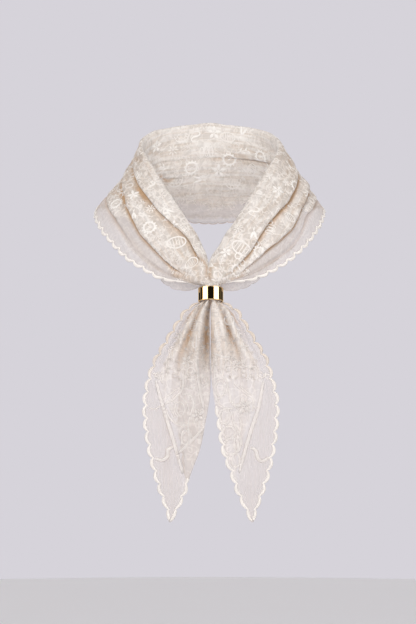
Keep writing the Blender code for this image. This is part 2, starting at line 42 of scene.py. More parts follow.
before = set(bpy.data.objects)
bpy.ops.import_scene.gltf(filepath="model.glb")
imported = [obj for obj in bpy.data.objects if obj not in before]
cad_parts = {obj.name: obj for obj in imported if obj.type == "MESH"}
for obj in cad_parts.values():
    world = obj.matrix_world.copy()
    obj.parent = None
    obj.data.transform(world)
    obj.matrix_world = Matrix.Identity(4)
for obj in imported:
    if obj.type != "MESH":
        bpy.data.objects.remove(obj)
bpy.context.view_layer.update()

MM = 0.001
PREFIX = "shawl"

# Scalloped edges
SCALLOP_PITCH = 13.2  # width of one scallop of the hem
SCALLOP_DEPTH = 3.5
SCALLOP_POWER = 0.62  # below 1 the lobes are fuller than a sine
SCALLOPS_END = 0.95  # way from which the fronts' hems are plain, at the ring

# Scarf ring, leaning back with the chest
RING_CENTRE = np.array((1.3, -95.0, -115.8))
RING_HEIGHT = 15.5
RING_RADIUS = 13.4
RING_WALL = 1.2
RING_SHOWN = 14.4  # height of the turned band, between the rolled lips of its solid
RING_LEAN = math.radians(11.5)
RING_FOOT_Y = -96.6  # middle of the ring's lower end
RING_DOWN = np.array((0.0, -math.sin(RING_LEAN), -math.cos(RING_LEAN)))
RING_DIVE = 7.0  # how far the cloth runs into each end of the ring


def columns(names, *rows):
    """A table as a dictionary of its named columns."""
    return dict(zip(names.split(), np.array(rows, float).T, strict=True))


# Half of the collar, from the nape (way 0) to the ring (way 1), x on either side.
# fold is the top edge, hem the scalloped outer edge, inner the lower edge of the inner layer,
# bow how far the layers curve out between their edges, dip how much less they do on the left, and
# gap how far apart they start. shift is how far to the right both sides stand, and spread how much
# further out the right fold stands.
COLLAR = columns(
    "way fold_x fold_y fold_z hem_x hem_y hem_z inner_x inner_y inner_z bow dip gap shift spread",
    (0, 0, 64, 79.5, 0, 96, -24, 0, 83, -32.3, -8, 0, 5.2, 0, 0),
    (0.07, 31, 60, 76.3, 44, 90.5, -22, 36, 78.5, -29.6, -8, 0, 5.2, 0, 0),
    (0.14, 55.6, 50, 71.9, 84, 74.5, -18.5, 70, 64, -24.6, -7, 1, 5, 0, 0),
    (0.22, 73, 31, 62.4, 112, 48, -16.5, 93, 42, -19, -5, 3, 4.4, 0, 0.5),
    (0.31, 76.5, 8, 49.1, 123.5, 17, -17.5, 104, 15, -22, -2, 4, 3.8, 0, 1.5),
    (0.4, 68.8, -22, 33.4, 124, -12, -28.5, 104, -10, -30, 1, 3, 3.6, 0, 2.6),
    (0.5, 52, -50, 6.5, 114, -41, -46.5, 95, -35, -45, 4, 1, 3.6, 0, 2.4),
    (0.62, 31.4, -72, -25.9, 93, -69, -70.5, 78, -60, -69, 6, 0, 3.6, 0, 4),
    (0.75, 12.8, -84, -53.9, 66, -87.5, -89.5, 57, -79, -94, 6, 0, 3.4, 0, 3.4),
    (0.88, 2.2, -93, -81.6, 39.4, -95.5, -101, 34, -86, -110, 6.5, 0, 3.2, -1.2, 1),
    (0.94, 1.2, -100, -94, 25, -98, -103.4, 20, -85, -111.5, 5, 0, 3.2, -1.8, 0),
    (1, 0.9, -104.6, -103.9, 11.8, -95, -105.3, 8.6, -86.5, -107, 2, 0, 2.8, 1.3, 0),
)
FOLD_LIFT = 0.12  # how far the top fold stands over its edge, as a share of the gap
RING_END_BOW = 1.4  # bow of the inner layer at the ring, where it curves the outer layer's way

# Pleats of the outer layer, from the left ring end (way -1) to the right one (way 1).
# at is the pleat edge's share of the way from fold to hem, lap how far the pleat overhangs
# the next one, and rise how far it stands off the layer.
OUTER_PLEATS = columns(
    "way at1 lap1 rise1 at2 lap2 rise2 at3 lap3 rise3",
    (-1, 0.24, 0, 0.2, 0.48, 0, 0.2, 0.66, 0, 0.2), (-0.92, 0.18, 0, 1, 0.65, 0, 1.2, 0.82, 0, 0.6),
    (-0.82, 0.165, 1.6, 4, 0.71, 3, 5.4, 0.87, 0, 2), (-0.72, 0.18, 2, 4.4, 0.675, 3.8, 6.4, 0.86, 0, 2.2),
    (-0.63, 0.22, 2.4, 4.6, 0.64, 4.6, 7, 0.84, 0, 2.2),
    (-0.56, 0.25, 2.2, 4.6, 0.595, 5, 7.4, 0.78, 0.4, 2.8),
    (-0.48, 0.27, 1.8, 4.2, 0.52, 5.4, 7.6, 0.78, 1.6, 4.6),
    (-0.38, 0.24, 1, 3, 0.44, 4.6, 6, 0.765, 2.6, 5),
    (-0.3, 0.18, 0.8, 2.6, 0.36, 3.6, 4.8, 0.74, 2.4, 4.4),
    (-0.15, 0.2, 1.8, 3.8, 0.44, 2.2, 4.2, 0.71, 2.6, 4.6),
    (0, 0.18, 1.6, 4.4, 0.42, 3, 5.6, 0.71, 1.8, 4.6),
    (0.15, 0.22, 2.4, 4.4, 0.52, 2.4, 4.6, 0.76, 2.8, 4.8),
    (0.28, 0.25, 3.2, 5.2, 0.68, 3.6, 5.6, 0.86, 2, 3.6),
    (0.36, 0.36, 4.4, 7, 0.645, 4.8, 7.2, 0.82, 2.4, 4.4),
    (0.44, 0.435, 5.4, 7.6, 0.635, 5.4, 7.6, 0.79, 2.2, 4.4),
    (0.5, 0.455, 5.2, 7.4, 0.665, 5.4, 7.6, 0.78, 0.8, 3.6),
    (0.56, 0.42, 4.4, 6.8, 0.71, 4.6, 7, 0.84, 0, 2.4), (0.64, 0.425, 4, 6.6, 0.695, 4, 6.6, 0.86, 0, 2.2),
    (0.72, 0.49, 3.6, 6.2, 0.685, 3.6, 6, 0.86, 0, 2.2), (0.8, 0.55, 2, 4.6, 0.715, 1.4, 3.8, 0.86, 0, 1.8),
    (0.9, 0.56, 0, 2, 0.71, 0, 1.4, 0.83, 0, 0.8), (1, 0.36, 0, 0.2, 0.54, 0, 0.2, 0.68, 0, 0.2),
)

# Pleats of the inner layer, which rise towards the neck.
INNER_PLEATS = columns(
    "way at1 lap1 rise1 at2 lap2 rise2 at3 lap3 rise3",
    (-1, 0.3, 0, 0.2, 0.55, 0, 0.2, 0.8, 0, 0.2), (-0.62, 0.26, 0, 0.5, 0.48, 0, 0.8, 0.7, 0, 0.8),
    (-0.4, 0.22, 0, 0.6, 0.42, 0.6, 1.8, 0.6, 1, 2.4), (-0.22, 0.17, 0.2, 1, 0.4, 2.4, 3.2, 0.57, 3.4, 4.6),
    (-0.1, 0.13, 0, 0.5, 0.34, 0.4, 1.8, 0.54, 1, 2.2), (0, 0.12, 0, 0.3, 0.32, 0.2, 1.8, 0.53, 0, 0.2),
    (0.1, 0.13, 0, 0.6, 0.33, 2.4, 4.2, 0.55, 0, 0.2), (0.22, 0.15, 0.2, 1, 0.36, 3.2, 4.8, 0.58, 0, 0.4),
    (0.4, 0.22, 0, 0.6, 0.42, 0.8, 1.8, 0.62, 0.4, 1.6), (0.62, 0.26, 0, 0.5, 0.48, 0, 0.8, 0.7, 0, 0.8),
    (1, 0.3, 0, 0.2, 0.55, 0, 0.2, 0.8, 0, 0.2),
)
PLEATS = 3

# A pleat's section: share of the pleat's width, and share of its rise.
PLEAT_CROWN = ((0.35, 0.62), (0.66, 0.88), (0.92, 1.0), (1.0, 0.62))
FIRST_CROWN = ((0.14, 0.40), *PLEAT_CROWN)
INNER_CROWN = ((0.45, 0.75), (0.88, 1.0), (1.0, 0.62))
FIRST_INNER_CROWN = ((0.2, 0.5), *INNER_CROWN)
OUTER_RISE = 0.68  # the thin cloth's pleats lie flatter than its solid's
INNER_RISE = 0.52
PLEAT_LEAD = 0.10  # share of a pleat's width that stays low beside the overhanging edge
LEAD_RISE = 0.22
SETTLE = 2.0  # where a pleat laps nothing, how far its edge takes to lie down on the next one
BORDER_CROWN = ((0.35, 1.0), (0.75, 0.6), (1.0, 0.0))
BORDER_RISE = 2.0
INNER_BORDER_RISE = 0.4
CALM_FROM = 0.84  # way from which the pleats press flat towards the ring
FRONTS_MEET = ((0.80, 0.87, 0.91, 0.95, 1.0), (0.0, 1.9, 2.6, 1.6, 1.0))  # way, and how far they press
PRESS_LEAN = (0.45, -0.3)  # how far forward the right front moves with that, and the left one (back)
FULL_HOLLOW = 4.2  # rise of a pleat whose hollow is fully in shade
INNER_LOBES = 0.4  # depth of the inner hem's scallops, as a share of the outer hem's
FLUTTER = 1.5  # waves of the loose hem
FLUTTER_WAVES = (23.0, 41.0)

# Soft creases of the collar along the cloth, troughs below 0 and ridges above. share is the
# crease's place from fold to hem, below 0 on the inner layer, and depth and width are sizes.
COLLAR_CREASES = columns(
    "low high share_low share_high depth width",
    (-0.98, -0.58, 0.34, 0.12, -1.3, 2.2), (-0.96, -0.46, 0.1, 0.15, 0.8, 3.4),
    (-0.97, -0.66, 0.44, 0.36, -1.5, 2), (-0.94, -0.5, 0.54, 0.42, 0.9, 2.8),
    (-0.97, -0.7, 0.62, 0.53, -1.2, 1.8), (-0.92, -0.42, 0.83, 0.87, -0.8, 4),
    (-0.84, -0.6, 0.93, 0.91, 0.6, 3.4), (-0.6, -0.36, 0.36, 0.31, -1.1, 2.4),
    (-0.52, -0.28, 0.66, 0.58, -1.2, 2.6), (-0.47, -0.24, 0.08, 0.11, -0.9, 3),
    (-0.36, -0.04, 0.3, 0.27, -1, 3.6), (-0.22, 0.15, 0.58, 0.63, -1.1, 4.2),
    (0.01, 0.33, 0.13, 0.1, -0.9, 3.6), (-0.13, 0.21, 0.86, 0.9, 0.7, 4.6), (0.14, 0.4, 0.4, 0.47, -1, 3),
    (0.28, 0.47, 0.16, 0.2, -1.1, 2.6), (0.33, 0.6, 0.56, 0.57, 0.9, 2.4),
    (0.4, 0.72, 0.28, 0.24, -0.9, 2.6), (0.52, 0.97, 0.12, 0.2, 0.8, 3.2),
    (0.58, 0.98, 0.33, 0.4, -1.3, 2.2), (0.62, 0.95, 0.56, 0.58, -1.1, 1.8),
    (0.66, 0.97, 0.24, 0.3, -0.9, 1.8), (0.46, 0.9, 0.9, 0.84, -0.8, 4),
    (-0.28, -0.06, -0.24, -0.28, -1.3, 2.8), (-0.17, 0.12, -0.7, -0.74, -0.9, 4),
    (0.03, 0.25, -0.25, -0.22, -1.1, 2.6), (-0.24, 0.03, -0.45, -0.42, 0.9, 3),
    (0.06, 0.3, -0.62, -0.68, -1, 3.4), (-0.08, 0.1, -0.85, -0.87, 0.8, 4.4),
)

# Tan shade in a few deep creases of the collar, laid out as the creases are. depth is its strength.
COLLAR_SHADES = columns(
    "low high share_low share_high depth width",
    (-1, -0.8, 0.06, 0.2, 0.75, 3), (0.86, 1, 0.22, 0.06, 0.75, 3), (-0.98, -0.8, 0.8, 0.72, 0.55, 4.5),
    (0.82, 0.98, 0.76, 0.84, 0.45, 4), (-0.175, -0.085, -0.54, -0.56, 0.85, 2),
    (0, 0.24, -0.335, -0.345, 0.55, 2.4), (0.43, 0.6, 0.545, 0.63, 0.45, 2.6),
    (-0.56, -0.39, 0.55, 0.4, 0.45, 2.6),
)

# How far down each layer its embroidered field reaches; past it the ground is plain to the hem.
LACE_FIELD = columns(
    "way outer inner",
    (-1, 0.9, 0.66), (-0.91, 0.86, 0.66), (-0.79, 0.73, 0.66), (-0.7, 0.69, 0.66), (-0.6, 0.67, 0.66),
    (-0.53, 0.72, 0.67), (-0.45, 0.79, 0.68), (-0.38, 0.77, 0.68), (-0.2, 0.75, 0.78), (0, 0.76, 0.82),
    (0.2, 0.78, 0.79), (0.29, 0.85, 0.68), (0.45, 0.79, 0.68), (0.56, 0.74, 0.67), (0.64, 0.71, 0.66),
    (0.72, 0.7, 0.66), (0.8, 0.72, 0.66), (0.91, 0.87, 0.66), (1, 0.9, 0.66),
)

# Left tail: inner and outer edge, the depth it hangs at, and how round the bundle still is.
LEFT_TAIL = columns(
    "z inner_x outer_x depth round",
    (-124.6, 0.4, -10.6, -95, 8.5), (-131, -1.4, -21.4, -97.5, 5.5), (-144.7, -3, -32.4, -99.5, 3),
    (-163.6, -3.6, -44.4, -100, 2), (-182.5, -3.6, -55.6, -99.5, 1.5), (-203.5, -1.8, -63.4, -99, 1),
    (-226.6, -1, -67.6, -98.5, 0.5), (-252.8, -4.8, -67, -98, 0), (-279, -10.6, -63, -97, 0),
    (-303, -19.6, -57.2, -96, 0), (-327.4, -27.6, -50, -95.5, 0), (-345, -34.4, -45.6, -95, 0),
    (-355, -38.6, -44, -95, 0),
)
RIGHT_TAIL = columns(
    "z inner_x outer_x depth round",
    (-124.6, 2.2, 13, -95, 9), (-131, 1.2, 25, -98, 5.5), (-144.7, 0.8, 35.5, -100.5, 3),
    (-163.6, 0.6, 47, -101, 2), (-182.5, 1.2, 58.5, -100.5, 1.5), (-203.5, 2.2, 65, -100, 1),
    (-226.6, 5, 70.4, -99, 0.5), (-252.8, 10.4, 70, -98, 0), (-279, 14.6, 66.6, -97, 0),
    (-303, 23.2, 61.6, -96, 0), (-327.4, 31.4, 54, -95.5, 0), (-345, 38.4, 49.8, -95, 0),
    (-355, 42, 47.6, -95, 0),
)

# Folds of a tail, a row for each from its inner edge to its hem. share is the fold's place
# between the tail's edges, and out how far it stands towards the front, at six heights.
FOLD_HEIGHTS = np.array((-124.6, -150.0, -190.0, -235.0, -285.0, -355.0))
LEFT_TAIL_FOLDS = (
    # share at each height, then out at each height
    ((-0.1, -0.1, -0.06, 0, 0, 0), (-7, -7.5, -5.5, -1, 0, 0)),
    ((-0.02, -0.02, 0.02, 0.08, 0.1, 0.12), (-4.5, -6, -4.6, -0.6, 0.3, 0)),
    ((0.08, 0.08, 0.1, 0.16, 0.2, 0.25), (-1, -1.6, -0.5, 1.4, 0.8, 0.2)),
    ((0.2, 0.18, 0.19, 0.24, 0.3, 0.38), (1.4, 3.6, 3.6, 2.6, 1.2, 0.3)),
    ((0.33, 0.31, 0.31, 0.36, 0.4, 0.48), (1.2, 3, 2.8, 1.8, 0.8, 0.2)),
    ((0.44, 0.42, 0.43, 0.48, 0.52, 0.58), (-1, -2.4, -2, -1, -0.4, 0)),
    ((0.55, 0.53, 0.54, 0.58, 0.62, 0.68), (0.2, 0.6, 0.4, 0.2, 0, 0.1)),
    ((0.68, 0.64, 0.65, 0.68, 0.72, 0.78), (1.2, 3, 2.6, 1.6, 0.8, 0.2)),
    ((0.81, 0.79, 0.8, 0.82, 0.84, 0.88), (-0.4, -1.6, -1.2, -0.6, -0.2, 0)),
    ((0.91, 0.9, 0.91, 0.92, 0.92, 0.91), (0.2, 0.8, 0.8, 0.8, 0.6, 0.1)),
    ((1, 1, 1, 1, 1, 1), (0, 0, 0, 0, 0, 0)),
)
RIGHT_TAIL_FOLDS = (
    ((0.04, 0.03, 0, 0, 0, 0), (-3, -3.4, -2.6, -0.4, 0.2, 0)),
    ((0.01, 0.02, 0.03, 0.05, 0.08, 0.12), (-0.4, -0.6, -0.2, 0.6, 0.6, 0)),
    ((0.07, 0.06, 0.07, 0.11, 0.16, 0.25), (0.8, 1.8, 1.6, 1.6, 1, 0.2)),
    ((0.2, 0.15, 0.15, 0.19, 0.24, 0.36), (1.4, 3.8, 3.4, 2.4, 1.2, 0.3)),
    ((0.36, 0.34, 0.3, 0.32, 0.36, 0.46), (1.2, 3.6, 3.2, 2, 0.8, 0.2)),
    ((0.48, 0.47, 0.46, 0.46, 0.5, 0.56), (-0.8, -2, -1.6, -0.8, -0.4, 0)),
    ((0.58, 0.56, 0.56, 0.56, 0.6, 0.66), (0.2, 0.6, 0.6, 0.4, 0.2, 0.1)),
    ((0.7, 0.67, 0.68, 0.68, 0.72, 0.78), (1.2, 2.6, 2.4, 1.6, 1, 0.2)),
    ((0.82, 0.82, 0.82, 0.82, 0.84, 0.88), (-0.4, -1.4, -1, -0.6, -0.2, 0)),
    ((0.91, 0.91, 0.91, 0.92, 0.92, 0.91), (0.2, 0.8, 0.8, 0.8, 0.6, 0.1)),
    ((1, 1, 1, 1, 1, 1), (0, 0, 0, 0, 0, 0)),
)
TAIL_SCALLOPS = 18
RING_END_FOLDS = 0.35  # how much deeper than their solids' the tails' folds are near the ring
INNER_SCALLOPS_FROM = {"left": -308.0, "right": -232.0}
INNER_SCALLOPS_GROW = 15.0
BAND_SHARE = ((150.0, 180.0, 206.0, 305.0), (0.72, 0.80, 0.88, 0.14))  # depth, and where its band is
TIP_WIDTHS = (5.0, 25.0)  # a tail's widths between which its scallops shrink to nothing
TIP_SHARP = 0.75  # how much narrower the very tip of a tail is than its solid
TIP_RUN = (322.0, 372.0)  # depths below the neck between which a tail narrows to its tip
RING_TILT_FROM = -150.0
RING_TILT_RUN = 25.0

# Soft creases that fan out from the ring down each tail: share of the tail's width at the top and
# at the bottom, how far below the neck they start and end, and their depth and width.
TAIL_CREASES = {
    "left": columns(
        "share_low share_high low high depth width",
        (0.27, 0.3, 126, 205, -1.1, 1.8), (0.12, 0.16, 126, 190, 0.9, 1.8),
        (0.38, 0.4, 128, 178, 0.8, 2), (0.5, 0.55, 127, 215, -1.2, 2.4),
        (0.61, 0.62, 128, 170, -0.9, 2), (0.74, 0.78, 128, 196, -0.9, 2.6),
        (0.3, 0.42, 225, 300, 0.6, 4), (0.66, 0.6, 235, 322, -0.6, 5),
    ),
    "right": columns(
        "share_low share_high low high depth width",
        (0.1, 0.12, 126, 198, -0.9, 1.8), (0.25, 0.24, 126, 180, -0.8, 2),
        (0.42, 0.4, 127, 190, 0.9, 2), (0.52, 0.5, 127, 212, -1.2, 2.4),
        (0.63, 0.6, 128, 172, 0.7, 2), (0.76, 0.78, 128, 204, -1, 2.6),
        (0.4, 0.36, 222, 296, -0.6, 4.6), (0.64, 0.58, 240, 330, 0.6, 4.6),
    ),
}

# Deep folds of the tails, in shade: depths below the neck, the share of the tail's width at each,
# how far the shade reaches to either side, and its strength.
TAIL_SHADES = {
    "left": (
        ((124, 150, 196), (0.3, 0.44, 0.52), 0.07, 0.85), ((124, 150, 200), (0, 0, 0), 0.12, 1),
        ((124, 136, 152), (0.6, 0.7, 0.78), 0.05, 0.7),
    ),
    "right": (
        ((124, 150, 186), (0.36, 0.46, 0.5), 0.07, 0.8), ((124, 150, 200), (0, 0, 0), 0.08, 0.7),
        ((124, 136, 152), (0.62, 0.74, 0.8), 0.05, 0.7),
    ),
}

# The part of the left tail that is turned under behind its smooth inner edge.
TURN_UNDER = columns(
    "z width slack",
    (-150, 20, 2.6), (-190, 26, 2.4), (-230, 29, 2.2), (-265, 22, 2), (-290, 12, 1.4), (-309, 3, 0.6),
)
TURN_UNDER_GAP = 1.4  # between the tail and the layer turned under behind it

# Fineness of the cloth grids
COLLAR_STEPS = 7  # columns for each scallop of the collar
COLLAR_ROWS = 3  # rows between two rows of the pleats' section
TAIL_STEPS = 10
TAIL_ROWS = 6
DIVE_STEPS = 4
DIVE = np.linspace(0, RING_DIVE, DIVE_STEPS + 1)[1:]  # how far into the ring the added columns lie
DIVE_SQUEEZE = 0.10  # how much nearer to the ring's axis the cloth's ends come
DIVE_WAY = DIVE / 300  # the same in the collar's way
CORD_SIDES = 8
RING_SIDES = 160
UV_FOLD = 150  # where the fold lies on the flat cloth
EDGE_REACH = 7  # how far into the cloth a scallop still pulls it
LAYER_REACH = 130.0  # how far from the fold the small motifs are tried
TRIES = 9000  # random places for the small motifs of one field
SIDE_SIGN = {"left": -1, "right": 1}


# --- Curves and sections --------------------------------------------------------------------------


def curve_through(knots, values, at):
    """Values at the given places on the smooth curve through the knots: cubic Hermite pieces whose
    slopes are the knots' central differences."""
    knots, values, at = np.asarray(knots, float), np.asarray(values, float), np.asarray(at, float)
    slopes = np.gradient(values, knots, axis=0)
    low = np.clip(np.searchsorted(knots, at, side="right") - 1, 0, len(knots) - 2)
    span = knots[low + 1] - knots[low]
    t = (at - knots[low]) / span
    shape = t.shape + (1,) * (values.ndim - 1)
    t, span = t.reshape(shape), span.reshape(shape)
    return (
        values[low] * (1 + 2 * t) * (1 - t) ** 2
        + slopes[low] * span * t * (1 - t) ** 2
        + values[low + 1] * t * t * (3 - 2 * t)
        + slopes[low + 1] * span * t * t * (t - 1)
    )


def smooth_run(points, per):
    """The points of a run with per - 1 more between each two, on the curve through them."""
    at = np.linspace(0, len(points) - 1, (len(points) - 1) * per + 1)
    return curve_through(np.arange(len(points)), points, at)


def unit(vectors):
    return vectors / np.maximum(np.linalg.norm(vectors, axis=-1, keepdims=True), 1e-9)


def ease(value, low, high):
    """0 up to low, 1 from high, and the smooth step 3t^2 - 2t^3 between."""
    t = np.clip((value - low) / (high - low), 0, 1)
    return t * t * (3 - 2 * t)


def collar_value(name, way):
    """A measure that is the same on both sides of the collar."""
    return curve_through(COLLAR["way"], COLLAR[name], np.abs(way))


def collar_edge(name, way):
    """Points of one of the collar's edges: the half table, mirrored, and moved by its shift."""
    knots = np.concatenate([-COLLAR["way"][:0:-1], COLLAR["way"]])
    points = []
    for axis, sign in (("x", -1), ("y", 1), ("z", 1)):
        half = COLLAR[f"{name}_{axis}"]
        points.append(curve_through(knots, np.concatenate([sign * half[:0:-1], half]), way))
    points[0] += collar_value("shift", way)
    if name == "fold":
        points[0] += np.where(way > 0, collar_value("spread", way), 0)
    return np.stack(points, axis=-1)


def near_ring(way):
    """0 round the neck, rising smoothly to 1 where the cloth goes into the ring."""
    return ease(np.abs(way), CALM_FROM, 1.0)


def pleat_rows(way, table, width, first_crown, crown, border_rise, depth):
    """Rows of a pleated layer from its top edge to its hem: distance down, rise and painted shade.

    Each pleat rises from under the one before, crowns, and ends in an edge that laps the next.
    Near the ring its rows spread evenly and lie flat. The painted shade, a darkening as if in shade, is 1 in
    the hollow under a high overhang."""
    rows, start, lap, painted_shade = [], 0 * width, 0 * width, 0 * width
    calm = near_ring(way)
    for k in range(1, PLEATS + 2):
        if k <= PLEATS:
            edge = curve_through(table["way"], table[f"at{k}"], way) * width
            rise = depth * curve_through(table["way"], table[f"rise{k}"], way)
            shape = first_crown if k == 1 else crown
        else:
            edge, rise, shape = width, border_rise + 0 * width, BORDER_CROWN
        strip = edge - start
        settle = SETTLE * np.clip(1 - lap, 0, 1)
        # Painted shade: full under the lapping edge, three quarters at the low lead beside it.
        line = [] if k == 1 else [
            ((settle - lap) / strip, 0.0, 1.0), (PLEAT_LEAD + settle / strip, LEAD_RISE, 0.75)
        ]
        line += [(share, height, 0.0) for share, height in shape]
        for place, (share, height, shade) in enumerate(line, 1):
            share = share + calm * (place / len(line) - share)
            rows.append((start + share * strip, height * rise * (1 - calm), shade * painted_shade))
        start, lap = edge, depth * curve_through(table["way"], table[f"lap{min(k, PLEATS)}"], way)
        painted_shade = np.clip(rise / FULL_HOLLOW, 0, 1) * (1 - 0.5 * calm) * (1.0 if k < PLEATS else 0.55)
    return rows


def lay_rows(top, hem, rows, side, bow):
    """Places a layer's rows: top + distance * down + (rise + 4 bow s (1 - s)) * side."""
    down = unit(hem - top)
    width = np.linalg.norm(hem - top, axis=-1)
    placed = []
    for distance, rise, _ in rows:
        share = np.clip(distance / width, 0, 1)
        out = rise + bow * 4 * share * (1 - share)
        placed.append(top + distance[:, None] * down + out[:, None] * side)
    return placed


def collar_frames(way):
    """The collar's edges at each way, and the directions that its two layers rise."""
    fold, hem, inner = (collar_edge(name, way) for name in ("fold", "hem", "inner"))
    step = 1e-3
    middle = [
        sum(collar_edge(name, np.clip(way + s, -1, 1)) for name in ("fold", "hem")) for s in (-step, step)
    ]
    along = unit(middle[1] - middle[0])
    out = unit(np.cross(along, hem - fold))
    behind = np.stack([0.2 * np.sign(way), 1 + 0 * way, 0 * way], axis=-1)
    calm = near_ring(way)[:, None]
    to_inner = unit((1 - calm) * -out + calm * behind)
    top_in = fold + collar_value("gap", way)[:, None] * to_inner
    inward = -unit(np.cross(along, inner - top_in))
    return fold, hem, top_in, inner, out, inward


def collar_section(way):
    """Rows of the folded cloth at each way, from the inner hem over the fold to the outer hem, with
    each row's painted shade, and the number of the fold's row."""
    fold, hem, top_in, inner, out, inward = collar_frames(way)
    bow = collar_value("bow", way) - np.where(way < 0, collar_value("dip", way), 0)
    gap = collar_value("gap", way)[:, None]
    width = np.linalg.norm(hem - fold, axis=-1)
    outer_rows = pleat_rows(way, OUTER_PLEATS, width, FIRST_CROWN, PLEAT_CROWN, BORDER_RISE, OUTER_RISE)
    outer = lay_rows(fold, hem, outer_rows, out, bow)
    inner_width = np.linalg.norm(inner - top_in, axis=-1)
    inner_rows = pleat_rows(
        way, INNER_PLEATS, inner_width, FIRST_INNER_CROWN, INNER_CROWN, INNER_BORDER_RISE, INNER_RISE
    )
    within = lay_rows(top_in, inner, inner_rows, inward, bow * (RING_END_BOW * near_ring(way) - 1))
    apex = (fold + top_in) / 2 - FOLD_LIFT * gap * unit(hem - fold)
    painted_shade = [row[2] for row in inner_rows[::-1]] + [0 * way] + [row[2] for row in outer_rows]
    return np.stack([*within[::-1], apex, *outer], axis=1), np.stack(painted_shade, axis=1), len(inner_rows)


def scallop(turns):
    """How far the hem stands out at each turn: depth * |sin(pi turns)|^power."""
    return SCALLOP_DEPTH * np.abs(np.sin(np.pi * turns)) ** SCALLOP_POWER


def pull(distance):
    """Share of a hem's scallop that the cloth follows at a distance from the hem."""
    return np.clip(1 - distance / EDGE_REACH, 0, 1) ** 2


def flutter(way):
    """Small uneven waves of the loose hem, which die out towards the ring."""
    slow, quick = FLUTTER_WAVES
    return FLUTTER * (0.6 * np.sin(slow * way) + 0.4 * np.sin(quick * way + 1.0)) * (1 - np.abs(way))


def even_places(edge, low, high, count=None, pitch=None):
    """The count of pitches along edge(parameter), and a function that gives the parameter after a
    number of pitches."""
    fine = np.linspace(low, high, 600)
    points = edge(fine)
    length = np.concatenate([[0], np.cumsum(np.linalg.norm(np.diff(points, axis=0), axis=1))])
    count = count or max(2, round(length[-1] / pitch))
    return count, lambda turns: np.interp(np.asarray(turns, float) / count * length[-1], length, fine)


def tail_edges(table, z):
    return [curve_through(-table["z"], table[key], -z) for key in ("inner_x", "outer_x", "depth", "round")]


def meet_ring(points):
    """Tilts the topmost part of a tail to the leaning end of the ring."""
    near = np.clip((points[..., 2] - RING_TILT_FROM) / RING_TILT_RUN, 0, 1)
    points[..., 2] -= near * math.tan(RING_LEAN) * (points[..., 1] - RING_FOOT_Y)
    return points


def tail_section(table, folds, z):
    """Points of a tail at each height, from its inner edge to its hem: x shares the width between
    the edges, and y is the depth less the round swell of the bundle and the fold's out."""
    inner, outer, depth, roundness = tail_edges(table, z)
    rows = []
    for shares, outs in folds:
        share = curve_through(-FOLD_HEIGHTS, shares, -z)
        out = curve_through(-FOLD_HEIGHTS, outs, -z) * (1 + RING_END_FOLDS * ease(z, -215.0, -160.0))
        swell = roundness * (1 - np.clip(share, 0, 1) ** 2)
        rows.append(np.stack([inner + share * (outer - inner), depth - swell - out, z], axis=-1))
    return np.stack(rows, axis=1)


def finer_rows(points, per):
    """The rows of each column with per - 1 more between each two, on the curve through them."""
    return np.moveaxis(smooth_run(np.moveaxis(points, 1, 0), per), 0, 1)


# --- Draped cloth ---------------------------------------------------------------------------------


class Drape:
    """A cloth surface on a grid, read by its place along and across the cloth.

    along holds one value for each column and across one for each point, rising with the rows."""

    def __init__(self, along, points, across, flip=1):
        self.along, self.points, self.across = along, points, across
        self.flip = flip
        run = np.gradient(points, along, axis=0)
        self.normals = flip * unit(np.cross(run, np.gradient(points, axis=1)))
        self.rate = np.linalg.norm(run, axis=-1)
        self.values = {}

    def cells(self, along, across):
        """Column, row and the two fractions of each place: linear along, then between rows."""
        order = np.argsort(self.along)
        column = np.interp(along, self.along[order], order.astype(float))
        low = np.clip(column.astype(int), 0, len(self.along) - 2)
        f = (column - low)[:, None]
        rows = self.across[low] * (1 - f) + self.across[low + 1] * f
        row = np.clip((rows < across[:, None]).sum(axis=1) - 1, 0, rows.shape[1] - 2)
        pick = np.arange(len(row))
        start, end = rows[pick, row], rows[pick, row + 1]
        g = np.clip((across - start) / np.maximum(end - start, 1e-6), 0, 1)
        return low, row, f[:, 0], g

    def read(self, table, along, across):
        """The table's values at the places, bilinear between the grid's points."""
        low, row, f, g = self.cells(along, across)
        shape = (-1,) + (1,) * (table.ndim - 2)
        f, g = f.reshape(shape), g.reshape(shape)
        near = table[low, row] * (1 - g) + table[low, row + 1] * g
        far = table[low + 1, row] * (1 - g) + table[low + 1, row + 1] * g
        return near * (1 - f) + far * f

    def at(self, along, across, height):
        """Points that stand height off the cloth at the places."""
        place = self.read(self.points, along, across)
        return place + height[:, None] * unit(self.read(self.normals, along, across))


def crease_relief(across, along, width, table):
    """Sum of soft creases: depth * exp(-(d / width)^2) * sin(pi t)^0.6, where d is the distance from
    the crease's line and t how far along it a point is."""
    relief = np.zeros_like(across)
    for k in range(len(table["depth"])):
        low, high, first, last, depth, wide = (
            table[key][k] for key in ("low", "high", "share_low", "share_high", "depth", "width")
        )
        t = np.clip((along - low) / (high - low), 0, 1)[:, None]
        line = first + t * (last - first)
        bend = 0.03 * np.sin(3 * np.pi * t + k)
        distance = (across - line - bend) * width[:, None]
        relief += depth * np.exp(-((distance / wide) ** 2)) * np.sin(np.pi * t) ** 0.6
    return relief


def crumple(points):
    """Small unevenness of handled cloth: three slow sine waves in each direction of space."""
    x, y, z = np.moveaxis(points, -1, 0)
    return 0.22 * (
        np.sin(x / 5.1 + 1.3 * np.sin(z / 9.0))
        + np.sin(z / 4.3 + 1.1 * np.sin(y / 7.0))
        + np.sin((x + y + z) / 6.7)
    )


def into_ring(end, way_down):
    """Columns that carry a cloth's end on into the ring, drawn in towards its axis as they go."""
    run = end + way_down * DIVE[:, None, None] * RING_DOWN
    squeeze = 1 - DIVE_SQUEEZE * (DIVE / RING_DIVE)[:, None, None]
    run[..., :2] = RING_CENTRE[:2] + (run[..., :2] - RING_CENTRE[:2]) * squeeze
    return run


